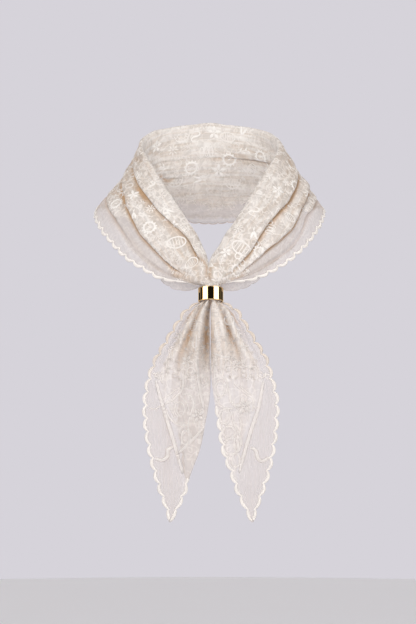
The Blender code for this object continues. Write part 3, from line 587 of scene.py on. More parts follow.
def down_rows(points):
    """Distance of each point down its column from the first row."""
    steps = np.linalg.norm(np.diff(points, axis=1), axis=-1)
    return np.concatenate([0 * steps[:, :1], np.cumsum(steps, axis=1)], axis=1)


@functools.lru_cache
def collar_drape():
    """The collar's cloth, from the left ring end round the neck to the right one, with its ends run
    on into the ring. across is the distance from the fold, below 0 on the inner layer."""
    count, place = even_places(lambda w: collar_edge("hem", w), -1.0, 1.0, pitch=SCALLOP_PITCH)
    turns = np.arange(count * COLLAR_STEPS + 1) / COLLAR_STEPS
    way = place(turns)
    coarse, painted_shade, fold_row = collar_section(way)
    points = finer_rows(coarse, COLLAR_ROWS)
    painted_shade = np.clip(finer_rows(painted_shade[..., None], COLLAR_ROWS)[..., 0], 0, 1)
    fold_row *= COLLAR_ROWS

    across = down_rows(points)
    across -= across[:, fold_row : fold_row + 1]
    outer_width, inner_width = across[:, -1], -across[:, 0]
    share = np.where(across > 0, across / outer_width[:, None], across / inner_width[:, None])

    surface = Drape(way, points, across)
    calm = 1 - ease(np.abs(way), 0.93, 1.0)[:, None]
    edge_on = np.clip(np.minimum(outer_width[:, None] - across, across + inner_width[:, None]) / 5, 0, 1)
    keep = calm * (1 - painted_shade) * edge_on
    relief = crease_relief(share, way, outer_width, COLLAR_CREASES)
    points = points + ((relief * keep + crumple(points) * calm)[..., None]) * surface.normals

    fold, hem, top_in, inner, out, _ = collar_frames(way)
    lobe = scallop(turns) * np.clip((SCALLOPS_END - np.abs(way)) * 8, 0, 1)
    reach = pull(outer_width[:, None] - across)[..., None]
    points += reach * (lobe[:, None] * unit(hem - fold) + flutter(way)[:, None] * out)[:, None]
    reach = pull(inner_width[:, None] + across)[..., None]
    points += reach * (INNER_LOBES * lobe[:, None] * unit(inner - top_in))[:, None]

    pressed = np.interp(np.abs(way), *FRONTS_MEET)[:, None] * (1 - ease(np.abs(share), 0.10, 0.36))
    points[..., 0] -= np.sign(way)[:, None] * pressed
    points[..., 1] -= np.where(way > 0, *PRESS_LEAN)[:, None] * pressed

    points = np.concatenate([into_ring(points[0], 1)[::-1], points, into_ring(points[-1], 1)])
    way = np.concatenate([-1 - DIVE_WAY[::-1], way, 1 + DIVE_WAY])
    pad = ((DIVE_STEPS, DIVE_STEPS), (0, 0))
    across, share, painted_shade, relief = (np.pad(v, pad, mode="edge") for v in (across, share, painted_shade, relief))
    outer_width = across[:, -1]

    drape = Drape(way, points, across)
    wave = 0.018 * np.sin(60 * way) + 0.012 * np.sin(137 * way + 1)
    outer, inner = (
        (curve_through(LACE_FIELD["way"], LACE_FIELD[key], np.clip(way, -1, 1)) + wave)[:, None]
        for key in ("outer", "inner")
    )
    edge = np.where(share > 0, outer, inner)
    # Painted shade: a broad band at the fronts' sides (side), deeper pleat shade near way 0.48 (front), the
    # tan creases and the soft creases' troughs.
    side, front = (
        np.exp(-(((np.abs(way) - place) / reach) ** 2))[:, None] * (share > 0)
        for place, reach in ((0.33, 0.11), (0.48, 0.10))
    )
    shade = crease_relief(share, way, outer_width, COLLAR_SHADES)
    lace = 0.15 + 0.85 * (1 - ease(np.abs(share), edge - 0.03, edge + 0.02))
    drape.values = {
        # Painted light: the inner layer's field is drawn denser and whiter, lightening the collar's inside,
        # which lies in shade.
        "lace": lace * np.where(share < 0, 1.25, 1.0),
        "painted_shade": np.clip(
            painted_shade * (1 + 0.5 * front) + shade + np.clip(-relief, 0, 2) * 0.34 + 0.38 * side, 0, 1
        ),
    }
    drape.share, drape.turns = share, turns
    return drape


@functools.lru_cache
def tail_drape(side):
    """A tail's cloth from just inside the ring to its tip. across is the distance from its middle
    line sideways, so that a point's x places it."""
    table, folds = {"left": (LEFT_TAIL, LEFT_TAIL_FOLDS), "right": (RIGHT_TAIL, RIGHT_TAIL_FOLDS)}[side]
    top, bottom = table["z"].max(), table["z"].min()

    def outer_edge(z):
        _, outer, depth, _ = tail_edges(table, z)
        return np.stack([outer, depth, z], axis=-1)

    count, place = even_places(outer_edge, top, bottom, count=TAIL_SCALLOPS)
    turns = np.arange(count * TAIL_STEPS + 1) / TAIL_STEPS
    z = place(turns)
    points = finer_rows(tail_section(table, folds, z), TAIL_ROWS)
    inner, outer, _, _ = tail_edges(table, z)
    width = np.abs(outer - inner)
    share = (points[..., 0] - inner[:, None]) / (outer - inner)[:, None]
    relief = crease_relief(share, -z, width, TAIL_CREASES[side])
    calm = ease(-z, 126.0, 140.0)[:, None]
    edge_on = np.clip((1 - share) * width[:, None] / 6, 0, 1)
    points[..., 1] -= (relief * edge_on + 1.5 * crumple(points) * calm) * ease(width, 4, 14)[:, None]

    low, high = TIP_WIDTHS
    shown = np.clip((width - low) / (high - low), 0, 1)
    lobe = scallop(turns) * np.sqrt(shown) - SCALLOP_DEPTH / 3 * shown
    away = np.sign(outer - inner)
    middle = ((inner + outer) / 2)[:, None]
    narrow = 1 - TIP_SHARP * ease(-z, *TIP_RUN)[:, None]
    points[..., 0] = middle + (points[..., 0] - middle) * narrow
    for edge_x, row_reach, sign, from_z in (
        (outer, pull((1 - share) * width[:, None]), 1, 0.0),
        (inner, pull(share * width[:, None]), -1, INNER_SCALLOPS_FROM[side]),
    ):
        slope = np.gradient(edge_x, z)
        normal = np.stack([sign * away, 0 * z, -sign * away * slope], axis=-1) / np.hypot(1, slope)[:, None]
        grown = np.clip((from_z - z) / INNER_SCALLOPS_GROW, 0, 1)
        points += (row_reach * (lobe * grown)[:, None])[..., None] * normal[:, None]
    points = meet_ring(points)

    points = np.concatenate([into_ring(points[0], -1)[::-1], points])
    z = np.concatenate([z[0] + DIVE[::-1], z])
    rising = np.arange(points.shape[1]) * 1e-4
    across = np.maximum.accumulate(SIDE_SIGN[side] * points[..., 0] + rising, axis=1)
    drape = Drape(z, points, across)
    if drape.normals[..., 1].mean() > 0:
        drape = Drape(z, points, across, flip=-1)
    pad = ((DIVE_STEPS, 0), (0, 0))
    share, relief = (np.pad(v, pad, mode="edge") for v in (share, relief))
    upper = 1 - ease(-z, 150.0, 215.0)[:, None]
    band = np.interp(-z, *BAND_SHARE)[:, None]
    folded = np.zeros_like(share)
    for depth, place, reach, most in TAIL_SHADES[side]:
        line = np.interp(-z, depth, place)[:, None]
        spans = (depth[0], (depth[0] + depth[-1]) / 2, depth[-1])
        strength = np.interp(-z, spans, (0.7, 1.0, 0.0))[:, None]
        folded = np.maximum(folded, most * strength * np.exp(-(((share - line) / reach) ** 2)))
    # Painted shade: deep folds (folded), the creases' troughs, and the plain sheer part past the band and
    # the tip, darkened towards the shade colours.
    plain = 0.14 * ease(share, band, band + 0.1) + 0.1 * ease(-z, 290.0, 345.0)[:, None]
    # The lace is denser and whiter towards the ring: partly the cloth lying in layers there, partly a
    # painted lightening of the bunched top.
    drape.values = {
        "lace": (0.34 + 0.84 * upper) * (1 - ease(share, band - 0.08, band + 0.02)),
        "painted_shade": np.clip(np.clip(-relief, 0, 2) * 0.3 + folded + plain, 0, 1),
    }
    drape.share, drape.turns = share, turns
    return drape


# --- Meshes ---------------------------------------------------------------------------------------


def grid_faces(count, rows, around=False, closed=False, flip=False, start=0):
    """Quads of a grid of count columns and rows points, closed round either way if asked."""
    i = np.arange(count if closed else count - 1)[:, None]
    j = np.arange(rows if around else rows - 1)[None]
    near, far = i * rows, (i + 1) % count * rows
    faces = np.stack(np.broadcast_arrays(near + j, far + j, far + (j + 1) % rows, near + (j + 1) % rows), -1)
    faces = faces.reshape(-1, 4) + start
    return faces[:, ::-1] if flip else faces


def make_piece(name, points, faces, material, values=None, uv=None, replaces=()):
    """Puts points in millimetres and faces into a mesh, rides it on the body and dresses it."""
    mesh = bpy.data.meshes.new(name)
    faces = faces if isinstance(faces, list) else faces.tolist()
    mesh.from_pydata((points.reshape(-1, 3) * MM).tolist(), [], faces)
    if uv is not None:
        corner = np.zeros(len(mesh.loops), np.int32)
        mesh.loops.foreach_get("vertex_index", corner)
        layer = mesh.uv_layers.new(name="cloth")
        layer.data.foreach_set("uv", (uv.reshape(-1, 2)[corner] * MM).astype(np.float32).ravel())
    for key, value in (values or {}).items():
        stored = mesh.attributes.new(key, "FLOAT", "POINT").data
        stored.foreach_set("value", np.asarray(value, np.float32).ravel())
    mesh.shade_smooth()
    mesh.materials.append(material)
    piece = bpy.data.objects.new(name, mesh)
    bpy.context.scene.collection.objects.link(piece)
    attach(piece, "root")
    if replaces:
        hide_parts(*replaces)
    return piece


def cloth_piece(name, drape, *replaces):
    """A thin shell on a drape, with its place on the flat cloth as its UV map."""
    mean_run = np.linalg.norm(np.diff(drape.points, axis=0), axis=-1).mean(axis=1)
    along = np.concatenate([[0], np.cumsum(mean_run)])
    uv = np.stack(np.broadcast_arrays(along[:, None], drape.across + UV_FOLD), -1)
    faces = grid_faces(*drape.points.shape[:2], flip=drape.flip < 0)
    piece = make_piece(name, drape.points, faces, lace_material(), drape.values, uv, replaces=replaces)
    wall = piece.modifiers.new("cloth thickness", "SOLIDIFY")
    wall.thickness = bpy.context.scene.shawl_cloth.thickness * MM
    wall.offset = 0
    return piece


def circle(count, radius=1.0, tall=None):
    """Points evenly round an ellipse: (radius cos, tall sin)."""
    angle = np.linspace(0, 2 * np.pi, count, endpoint=False)
    return np.stack([radius * np.cos(angle), (radius if tall is None else tall) * np.sin(angle)], axis=-1)


def tube(path, normals, wide, thick):
    """A cord along a path, its section the ellipse wide by thick, lying flat on the normals."""
    across = unit(np.cross(unit(np.gradient(path, axis=0)), normals))
    (cos, sin), sizes = circle(CORD_SIDES).T, (len(path), 1, 1)
    return (
        path[:, None]
        + (wide / 2).reshape(sizes) * cos[:, None] * across[:, None]
        + (thick / 2).reshape(sizes) * sin[:, None] * normals[:, None]
    )


# --- Embroidery motifs ----------------------------------------------------------------------------
# A stitch is a path in flat cloth sizes, its width at each point, its height, and whether it closes.

STITCH_SECTION = ((-0.5, -0.5), (-0.3, 0.4), (0.0, 0.55), (0.3, 0.4), (0.5, -0.5))
FINEST_STITCH = 1.05


def line(points, width, height=0.5, taper=0.35, steps=5):
    """A satin-stitched line on the curve through the points, narrower towards its ends."""
    points = np.asarray(points, float)
    if len(points) > 2:
        path = smooth_run(points, steps)
    else:
        path = points[0] + np.linspace(0, 1, steps + 1)[:, None] * (points[1] - points[0])
    t = np.linspace(0, 1, len(path))
    width = max(width, FINEST_STITCH)
    return path, width * (taper + (1 - taper) * np.sin(np.pi * t) ** 0.5), height, False


def loop(a, b, width, height=0.5, steps=18):
    """A closed oval line: (a cos, b sin)."""
    return circle(steps, a, b), np.full(steps, max(width, FINEST_STITCH)), height, True


def petal(length, width, turn, start=0.0, height=0.6, steps=6):
    """A filled leaf shape from start outwards: its width is the sine of the way along it."""
    t = np.linspace(0, 1, steps)
    reach = start + t * (length - start)
    path = np.stack([reach * math.cos(turn), reach * math.sin(turn)], axis=-1)
    width = max(width, 1.3 * FINEST_STITCH)
    return path, width * (0.08 + 0.92 * np.sin(np.pi * t**0.85)), height, False


def moved(stitch, by):
    return stitch[0] + by, *stitch[1:]


def sun_ring(size):
    """A thick ring with short leaves all round its outside, and a small leaf in its eye."""
    rays = [petal(1.08 * size, 0.34 * size, k * math.tau / 13, 0.8 * size, 0.5, 4) for k in range(13)]
    eye = moved(petal(0.62 * size, 0.24 * size, 0.5, 0.0, 0.3, 5), (-0.27 * size, -0.15 * size))
    return [loop(0.8 * size, 0.75 * size, 0.32 * size, 0.7), eye, *rays]


def small_ring(size):
    return [loop(size * 0.8, size * 0.72, 0.42 * size, 0.5, 12)]


def flower(size):
    """Rounded petals round a small ring."""
    out = [petal(size, 0.62 * size, k * math.tau / 5 + 0.3, 0.2 * size) for k in range(5)]
    return [*out, loop(0.17 * size, 0.17 * size, 0.16 * size, 0.9, 8)]


def daisy(size):
    return [petal(size, 0.3 * size, k * math.tau / 8, 0.28 * size, 0.5, 5) for k in range(8)] + [
        loop(0.15 * size, 0.15 * size, 0.14 * size, 0.8, 8)
    ]


def leaf_pair(size):
    """Two long leaves side by side, each an outline with a thin vein."""
    out = []
    for turn in (0.32, -0.36):
        out.append(petal(size * 1.15, 0.36 * size, turn, 0.0, 0.6, 8))
        out.append(line(((0, 0), (-0.5 * size * math.cos(turn), -0.3 * size * math.sin(turn))), 0.14 * size))
    return out


def sprig(size):
    """A curved stem with leaves to both sides and one at its end."""
    stem = ((-size, -0.15 * size), (-0.3 * size, 0.12 * size), (0.4 * size, 0.1 * size), (size, -0.1 * size))
    out = [line(stem, 0.14 * size, 0.4)]
    for x, turn in ((-0.6, 0.9), (-0.25, -0.8), (0.15, 0.9), (0.5, -0.8)):
        out.append(moved(petal(0.62 * size, 0.34 * size, turn, 0.0, 0.5, 5), (x * size, 0.05 * size)))
    return out


def oval(size):
    """A tall oval filled with a ladder of bars."""
    rungs = []
    for x in (-0.62, -0.31, 0.0, 0.31, 0.62):
        reach = 0.6 * size * math.sqrt(1 - x * x)
        rungs.append(line(((x * size, -reach), (x * size, reach)), 0.13 * size, 0.35, 0.6, 3))
    return [loop(size, 0.62 * size, 0.2 * size, 0.5, 24), *rungs]


def arcs(size):
    """Two open arcs, one inside the other, with rays between them."""
    out = []
    for radius, width in ((size, 0.17 * size), (0.62 * size, 0.11 * size)):
        angle = np.linspace(0.25, math.pi - 0.1, 5)
        out.append(line(np.stack([radius * np.cos(angle), radius * np.sin(angle)], -1), width, 0.45, 0.5, 4))
    return out + [petal(0.95 * size, 0.1 * size, a, 0.66 * size, 0.35, 3) for a in (0.6, 1.1, 1.6, 2.1, 2.6)]


def scroll(size):
    """An S scroll, thick in its middle: each half curls round by the sine and cosine of its turn."""
    t = np.linspace(-1, 1, 15)
    turn = 3.6 * np.abs(t)
    path = np.stack([np.sign(t) * np.sin(turn) * 0.6, np.sign(t) * (1 - np.cos(turn)) * 0.35], -1) * size
    return [(path, size * (0.10 + 0.24 * (1 - np.abs(t))), 0.6, False)]


def loops(size):
    """Three narrow petals drawn in outline, side by side."""
    out = []
    for x in (-0.62, 0.0, 0.62):
        outline = loop(0.26 * size, 0.7 * size, 0.13 * size, 0.45, 12)
        out.append(moved(outline, (x * size, -0.12 * size * abs(x))))
    return out


def bars(size):
    """A ladder of short bars between two thin lines."""
    out = [line(((-size, y * size), (size, 1.25 * y * size)), 0.1 * size, 0.35, 0.6, 6) for y in (-0.3, 0.3)]
    return out + [line(((x * size, -0.3 * size), (x * size, 0.3 * size)), 0.14 * size, 0.4, 0.5, 2)
                  for x in (-0.7, -0.35, 0.0, 0.35, 0.7)]


def curl(size):
    """A leafy spiral: radius from size down to a third of it over two thirds of a turn, with leaves
    along its outside."""
    t = np.linspace(0, 1, 10)
    angle, radius = 4.2 * t, size * (1 - 0.68 * t)
    stem = np.stack([radius * np.cos(angle), radius * np.sin(angle)], axis=-1)
    out = [(stem, size * (0.16 + 0.2 * np.sin(np.pi * t)), 0.5, False)]
    for k in (1, 3, 5):
        out.append(moved(petal(0.55 * size, 0.34 * size, angle[k] + 0.9, 0.0, 0.45, 5), stem[k]))
    return out


def fan(size):
    """Five leaves that spread from one foot."""
    return [
        petal(size * (1.15 - 0.18 * abs(k)), 0.3 * size, 0.5 * k, 0.1 * size, 0.5, 5) for k in range(-2, 3)
    ]


MOTIFS = {
    motif.__name__: motif
    for motif in (
        sun_ring, small_ring, flower, daisy, leaf_pair, sprig, oval, arcs, scroll, loops, bars, curl, fan,
    )
}
FILLERS = "curl sprig flower curl fan sprig leaf_pair curl small_ring fan arcs".split()


# --- Embroidery layouts ---------------------------------------------------------------------------

# Motifs of the collar: kind, way round the collar, share of the layer from the fold (below 0 on the
# inner layer), size, and turn in degrees.
COLLAR_MOTIFS = (
    # left front
    ("oval", -0.86, 0.36, 7.5, 80), ("arcs", -0.79, 0.12, 6, 20), ("oval", -0.735, 0.37, 10.5, 74),
    ("bars", -0.7, 0.13, 6.5, 8), ("flower", -0.665, 0.2, 6, 10), ("sun_ring", -0.625, 0.48, 8.2, 0),
    ("leaf_pair", -0.6, 0.15, 9, 200), ("daisy", -0.565, 0.33, 6, 0), ("leaf_pair", -0.545, 0.5, 9, 150),
    ("scroll", -0.5, 0.13, 7.5, 70), ("sun_ring", -0.455, 0.68, 8, 0), ("flower", -0.485, 0.38, 7.5, 40),
    ("loops", -0.43, 0.2, 6.5, 20), ("arcs", -0.4, 0.52, 8, 60), ("sprig", -0.36, 0.34, 8, 110),
    ("oval", -0.35, 0.68, 7, 90),
    # right front
    ("sun_ring", 0.87, 0.6, 6.8, 0), ("leaf_pair", 0.9, 0.18, 6, 250), ("flower", 0.815, 0.2, 6.2, 0),
    ("small_ring", 0.8, 0.38, 4.6, 0), ("oval", 0.765, 0.33, 11.5, 86), ("sun_ring", 0.735, 0.6, 6.6, 0),
    ("daisy", 0.7, 0.12, 5.6, 0), ("leaf_pair", 0.675, 0.28, 10, 35), ("loops", 0.63, 0.5, 7, 10),
    ("scroll", 0.61, 0.14, 8, 100), ("arcs", 0.57, 0.33, 7.5, 20), ("oval", 0.55, 0.58, 6.5, 90),
    ("flower", 0.5, 0.22, 7.5, 25), ("bars", 0.47, 0.7, 8, 80), ("sun_ring", 0.44, 0.34, 7.6, 0),
    ("sprig", 0.425, 0.56, 7, 30), ("leaf_pair", 0.38, 0.16, 9, 75), ("arcs", 0.35, 0.52, 7.5, 200),
    ("loops", 0.33, 0.76, 7, 95),
    # nape, outer layer
    ("flower", -0.27, 0.2, 8, 0), ("sun_ring", -0.24, 0.55, 8.4, 0), ("leaf_pair", -0.19, 0.3, 10, 30),
    ("oval", -0.14, 0.6, 9.5, 80), ("scroll", -0.11, 0.18, 8, 15), ("daisy", -0.06, 0.48, 7, 0),
    ("sun_ring", 0, 0.24, 8.4, 0), ("loops", 0.03, 0.62, 8, 0), ("arcs", 0.07, 0.36, 8.5, 190),
    ("flower", 0.12, 0.66, 8, 20), ("leaf_pair", 0.15, 0.22, 10, 160), ("oval", 0.2, 0.52, 9, 95),
    ("scroll", 0.25, 0.24, 8, 60), ("sun_ring", 0.28, 0.62, 8.2, 0),
    # nape, inner layer
    ("sun_ring", -0.047, -0.44, 8.4, 0), ("sun_ring", 0.052, -0.36, 8.6, 0),
    ("flower", 0.024, -0.47, 8.4, 0), ("loops", -0.008, -0.28, 8.4, 0),
    ("leaf_pair", -0.018, -0.56, 10, 175), ("flower", 0.012, -0.1, 8, 0), ("arcs", -0.075, -0.09, 9, 180),
    ("leaf_pair", 0.086, -0.1, 9.5, 70), ("scroll", -0.036, -0.13, 8.5, 0), ("oval", 0.048, -0.13, 8.5, 0),
    ("arcs", 0.058, -0.57, 9.5, 190), ("daisy", -0.1, -0.25, 7, 0), ("sprig", 0.095, -0.26, 8, 10),
    ("arcs", -0.088, -0.56, 9, 200), ("oval", 0.112, -0.48, 7.5, 60), ("sprig", -0.13, -0.42, 8, 150),
    ("sun_ring", 0.155, -0.3, 7.6, 0), ("flower", -0.165, -0.18, 7.5, 0), ("leaf_pair", 0.19, -0.5, 9, 110),
    ("scroll", -0.21, -0.46, 8, 60),
)

# Satin lines, ovals and motifs of the tails, seen from the front: x and z in the part's own frame.
TAIL_LINES = {
    "left": (
        # width, then the points the line runs through
        (4.4, ((-56.5, -206), (-49.5, -231), (-39, -266), (-28, -304))),
        (4, ((-7.5, -256.5), (-18, -268.5), (-32.5, -282))),
        (4, ((-13.5, -158), (-14, -184), (-10.5, -212), (-6, -236))),
        (2.8, ((-27.5, -196), (-28.5, -214), (-36, -224), (-47, -231))),
        (2.4, ((-31, -213), (-42, -221), (-50, -227))),
        (2.6, ((-29.5, -221), (-20.5, -221.5), (-17, -231), (-21, -244))),
        (2.6, ((-45.5, -235), (-41.5, -246), (-32, -252.5), (-21.5, -252))),
        (2.4, ((-21, -244), (-22.5, -256), (-19.5, -266), (-26, -275.5), (-30.5, -279.5))),
        (2.4, ((-23, -257.5), (-28.5, -264), (-29.5, -274))),
        (2.2, ((-36.5, -228), (-34.5, -238), (-31, -244))),
        (2, ((-42.5, -232.5), (-38.5, -240), (-36, -245.5))),
        (2, ((-27.5, -225), (-23, -231.5), (-21.5, -238))),
        (4.4, ((-38, -276), (-43.5, -278.5), (-44.5, -286), (-50, -289.5), (-57, -288))),
        (2, ((-45.5, -184), (-45, -194), (-44.5, -203))),
        (2, ((-44, -192.5), (-39.5, -193.5), (-35.5, -191.5))),
        (2.6, ((-58, -200), (-53, -203.5), (-47.5, -201.5))),
        (2.4, ((-54, -197), (-51.5, -204.5), (-49, -209))),
        (2.2, ((-24.5, -204), (-18, -205.5), (-14, -203.5))),
        (2, ((-24, -212), (-18, -214), (-13.5, -211.5))),
        (1.8, ((-63.5, -234.5), (-57, -236), (-51.5, -232.5))),
    ),
    "right": (
        (4.4, ((56.5, -207), (51.5, -233), (43.5, -258), (38, -277), (31, -303))),
        (3.4, ((3.5, -176.5), (12, -180.5), (22, -181))),
        (2, ((22, -181), (32, -188), (41, -192.5), (49, -192), (50.5, -206))),
        (2.2, ((4.4, -182), (5.2, -203), (6.6, -222), (10.5, -232))),
        (2.4, ((11.5, -190), (13.5, -201), (18.5, -209), (17.5, -218), (9.5, -226.5))),
        (3, ((18, -207.5), (20.5, -219), (23.5, -229.5), (30, -235.5))),
        (2.2, ((7, -206), (12, -203.5), (17.5, -206.5))),
        (2.2, ((26, -209.5), (35.5, -217.5), (44.5, -224.5), (46.5, -230.5))),
        (2, ((32, -212), (40.5, -219), (46, -221.5))), (2.4, ((7.5, -229.5), (15, -235), (24.5, -235.5))),
        (2.4, ((22.5, -238), (26, -252), (31.5, -263), (34.5, -275))),
        (2, ((31.5, -245), (33, -253), (31.5, -262))),
        (4.4, ((43, -276.5), (48.5, -279.5), (50.5, -287.5), (56, -290.5), (62, -286.5))),
        (2, ((41.5, -194), (42, -201), (38.5, -206))), (2.6, ((50.5, -200), (55.5, -203), (58.5, -198))),
    ),
}
TAIL_OVALS = {
    "left": (
        # centre x and z, half width, half height, and width of the line
        (-25.5, -265.5, 4, 7.6, 2.2), (-31.5, -236, 5.6, 7.4, 2), (-19.5, -197, 4.2, 5, 1.9),
        (-5.6, -206, 2.6, 4.4, 1.4),
    ),
    "right": (
        (16, -243.5, 5.4, 8, 2.6), (20.6, -260.5, 6.4, 6.2, 2.6), (22.4, -275.5, 7.8, 8.4, 2.6),
        (29, -273, 3.4, 8, 2.2), (27.4, -290, 4.2, 7.2, 2.4), (11.2, -214.5, 4.8, 8, 2),
    ),
}
TAIL_MOTIFS = {
    "left": (
        # kind, x, z, size and turn in degrees
        ("flower", -12.5, -243, 7.6, 20), ("daisy", -12, -240, 4.6, 0), ("flower", -23.5, -186, 6.6, 50),
        ("leaf_pair", -52, -199, 7, 200), ("arcs", -37, -176, 6, 60), ("oval", -17, -148, 6, 80),
        ("sprig", -33, -158, 6, 240), ("scroll", -17.5, -168, 6, 90),
    ),
    "right": (
        ("flower", 35.5, -233, 9.4, 12), ("daisy", 36.5, -232, 6, 10), ("flower", 28.5, -191, 6.2, 40),
        ("small_ring", 20.5, -143, 6.4, 0), ("leaf_pair", 56, -199, 7, 330), ("oval", 9, -156, 6, 90),
        ("flower", 36, -171, 6, 0), ("sprig", 30.5, -156, 5.6, 290), ("arcs", 37, -183, 6, 120),
        ("scroll", 9.5, -170, 5.6, 40), ("leaf_pair", 45.5, -232, 6, 290),
    ),
}


def stitch_grid(stitch):
    """The points of a stitch in flat sizes and their heights: its section, as wide as the stitch,
    carried along its path."""
    path, width, height, closed = stitch
    run = np.roll(path, -1, axis=0) - np.roll(path, 1, axis=0) if closed else np.gradient(path, axis=0)
    side = unit(run[:, ::-1] * (-1, 1))
    section = np.array(STITCH_SECTION)
    flat = path[:, None] + (width[:, None] * section[:, 0])[..., None] * side[:, None]
    rise = height * np.sqrt(width / width.max())[:, None] * section[:, 1]
    return flat, rise


def turned(flat, degrees):
    c, s = math.cos(math.radians(degrees)), math.sin(math.radians(degrees))
    return flat @ np.array(((c, s), (-s, c)))


def layer_end(drape, way, share):
    """The across of a layer's hem at a way: the outer layer's where share is above 0."""
    return np.interp(way, drape.along, drape.across[:, -1] if share > 0 else -drape.across[:, 0])


def laid(stitches, turn, shade, to_cloth):
    """Stitches turned in the flat, with to_cloth giving their places along and across a cloth."""
    placed = []
    for stitch in stitches:
        flat, rise = stitch_grid(stitch)
        flat = turned(flat, turn)
        placed.append((*to_cloth(flat[..., 0], flat[..., 1]), rise, shade + 0 * rise, stitch[3]))
    return placed


def on_collar(kind, way, share, size, turn, shade=0.0):
    """A motif's stitches at their places on the collar: its sizes along are divided by how fast the
    cloth runs there, so that it keeps its shape."""
    drape = collar_drape()
    across = share * layer_end(drape, way, share)
    rate = drape.read(drape.rate, np.array([way]), np.array([across]))[0]
    return laid(MOTIFS[kind](size), turn, shade, lambda x, y: (way + x / rate, across + y))


def on_tail(side, stitches, x=0.0, z=0.0, turn=0.0, shade=0.0):
    """Stitches in x and z, at their places on a tail."""
    return laid(stitches, turn, shade, lambda right, up: (z + up, SIDE_SIGN[side] * (x + right)))


def embroidery(name, drape, placed, thread):
    """One mesh of all the placed stitches, lifted off the cloth by half its thickness. An open
    stitch is closed by a face across its section at either end."""
    lift = bpy.context.scene.shawl_cloth.thickness / 2
    faces, start = [], 0
    for along, _, _, _, closed in placed:
        rows = along.shape[1]
        faces += grid_faces(*along.shape, around=True, closed=closed, start=start).tolist()
        if not closed:
            end = np.arange(rows)
            faces += [(start + end).tolist(), (start + along.size - 1 - end).tolist()]
        start += along.size
    along, across, rise, shade = (np.concatenate([p[k].ravel() for p in placed]) for k in range(4))
    points = drape.at(along, across, rise + np.sign(rise) * lift)
    return make_piece(name, points, faces, thread_material(thread), {"shade": shade})


def scattered(drape, spacing, seed, taken, low, high, least_lace=0.6):
    """Places for small motifs all over a field: random ones, each kept if it is a spacing away from
    those before it and clear of the main motifs. taken holds their points and sizes."""
    rng = np.random.default_rng(seed)
    along, across = (rng.uniform(low[k], high[k], TRIES) for k in (0, 1))
    lace = drape.read(drape.values["lace"], along, across)
    share = np.abs(drape.read(drape.share, along, across))
    place = drape.read(drape.points, along, across)
    kept, points = [], np.array([p for p, _ in taken]).reshape(-1, 3)
    room = np.array([1.05 * size + 0.42 * spacing for _, size in taken])
    for k in np.flatnonzero((lace > least_lace) & (share < 0.97)):
        if len(points) and (np.linalg.norm(points - place[k], axis=1) < room).any():
            continue
        kept.append((along[k], across[k]))
        points = np.concatenate([points, place[k : k + 1]])
        room = np.append(room, spacing)
    return kept, rng


# --- Materials ------------------------------------------------------------------------------------


def linear(red, green, blue):
    """A colour given in 8-bit steps, as the linear values that shaders take."""
    value = np.array((red, green, blue)) / 255
    low = value / 12.92
    return tuple(np.where(value <= 0.04045, low, ((value + 0.055) / 1.055) ** 2.4).tolist())


def add(tree, kind, inputs=None, **settings):
    """A node with its settings, its inputs set to values or joined to sockets."""
    node = tree.nodes.new(kind)
    for key, value in settings.items():
        setattr(node, key, value)
    for key, value in (inputs or {}).items():
        if isinstance(value, bpy.types.NodeSocket):
            tree.links.new(value, node.inputs[key])
        else:
            node.inputs[key].default_value = value
    return node


def maths(tree, operation, *values):
    return add(tree, "ShaderNodeMath", dict(enumerate(values)), operation=operation).outputs[0]


def times(tree, *values):
    return maths(tree, "MULTIPLY", *values)


def plus(tree, *values):
    return maths(tree, "ADD", *values)


def map_range(tree, value, low, high, to_low=0.0, to_high=1.0, smooth=False):
    """The value carried from one range to another, and held at its ends."""
    inputs = {"Value": value, "From Min": low, "From Max": high, "To Min": to_low, "To Max": to_high}
    kind = "SMOOTHSTEP" if smooth else "LINEAR"
    return add(tree, "ShaderNodeMapRange", inputs, interpolation_type=kind).outputs[0]


def soft_line(tree, distance, reach, most=1.0):
    """most on the line, and less and less up to reach from it."""
    return map_range(tree, distance, 0.0, reach, most, 0.0, smooth=True)


def noise(tree, place, scale, detail):
    return add(tree, "ShaderNodeTexNoise", {"Vector": place, "Scale": scale, "Detail": detail}).outputs


def cells(tree, place, scale, uneven, feature="DISTANCE_TO_EDGE"):
    """How far each place is from the edges of scattered cells, or from their points."""
    inputs = {"Vector": place, "Scale": scale, "Randomness": uneven}
    return add(tree, "ShaderNodeTexVoronoi", inputs, feature=feature).outputs["Distance"]


def bump(tree, height, strength, distance):
    inputs = {"Strength": strength, "Distance": distance, "Height": height}
    return add(tree, "ShaderNodeBump", inputs).outputs[0]


def attribute(tree, name):
    return add(tree, "ShaderNodeAttribute", attribute_name=name).outputs["Fac"]


def mix_colour(tree, share, first, second):
    node = add(tree, "ShaderNodeMix", data_type="RGBA")
    for socket, value in zip((node.inputs[k] for k in (0, 6, 7)), (share, first, second), strict=True):
        if isinstance(value, bpy.types.NodeSocket):
            tree.links.new(value, socket)
        else:
            socket.default_value = value if np.ndim(value) == 0 or len(value) == 4 else (*value, 1.0)
    return node.outputs[2]


def mix_shader(tree, share, first, second):
    return add(tree, "ShaderNodeMixShader", {0: share, 1: first, 2: second}).outputs[0]


def glowing(tree, share, shader, colour):
    """A shader through which a share of the light from behind passes."""
    through = add(tree, "ShaderNodeBsdfTranslucent", {"Color": colour}).outputs[0]
    return mix_shader(tree, share, shader, through)


def principled(tree, **inputs):
    """A Principled shader. Its inputs are named in small letters, with _ for a space."""
    named = {name.replace("_", " ").title().replace("Ior", "IOR"): value for name, value in inputs.items()}
    return add(tree, "ShaderNodeBsdfPrincipled", named).outputs[0]


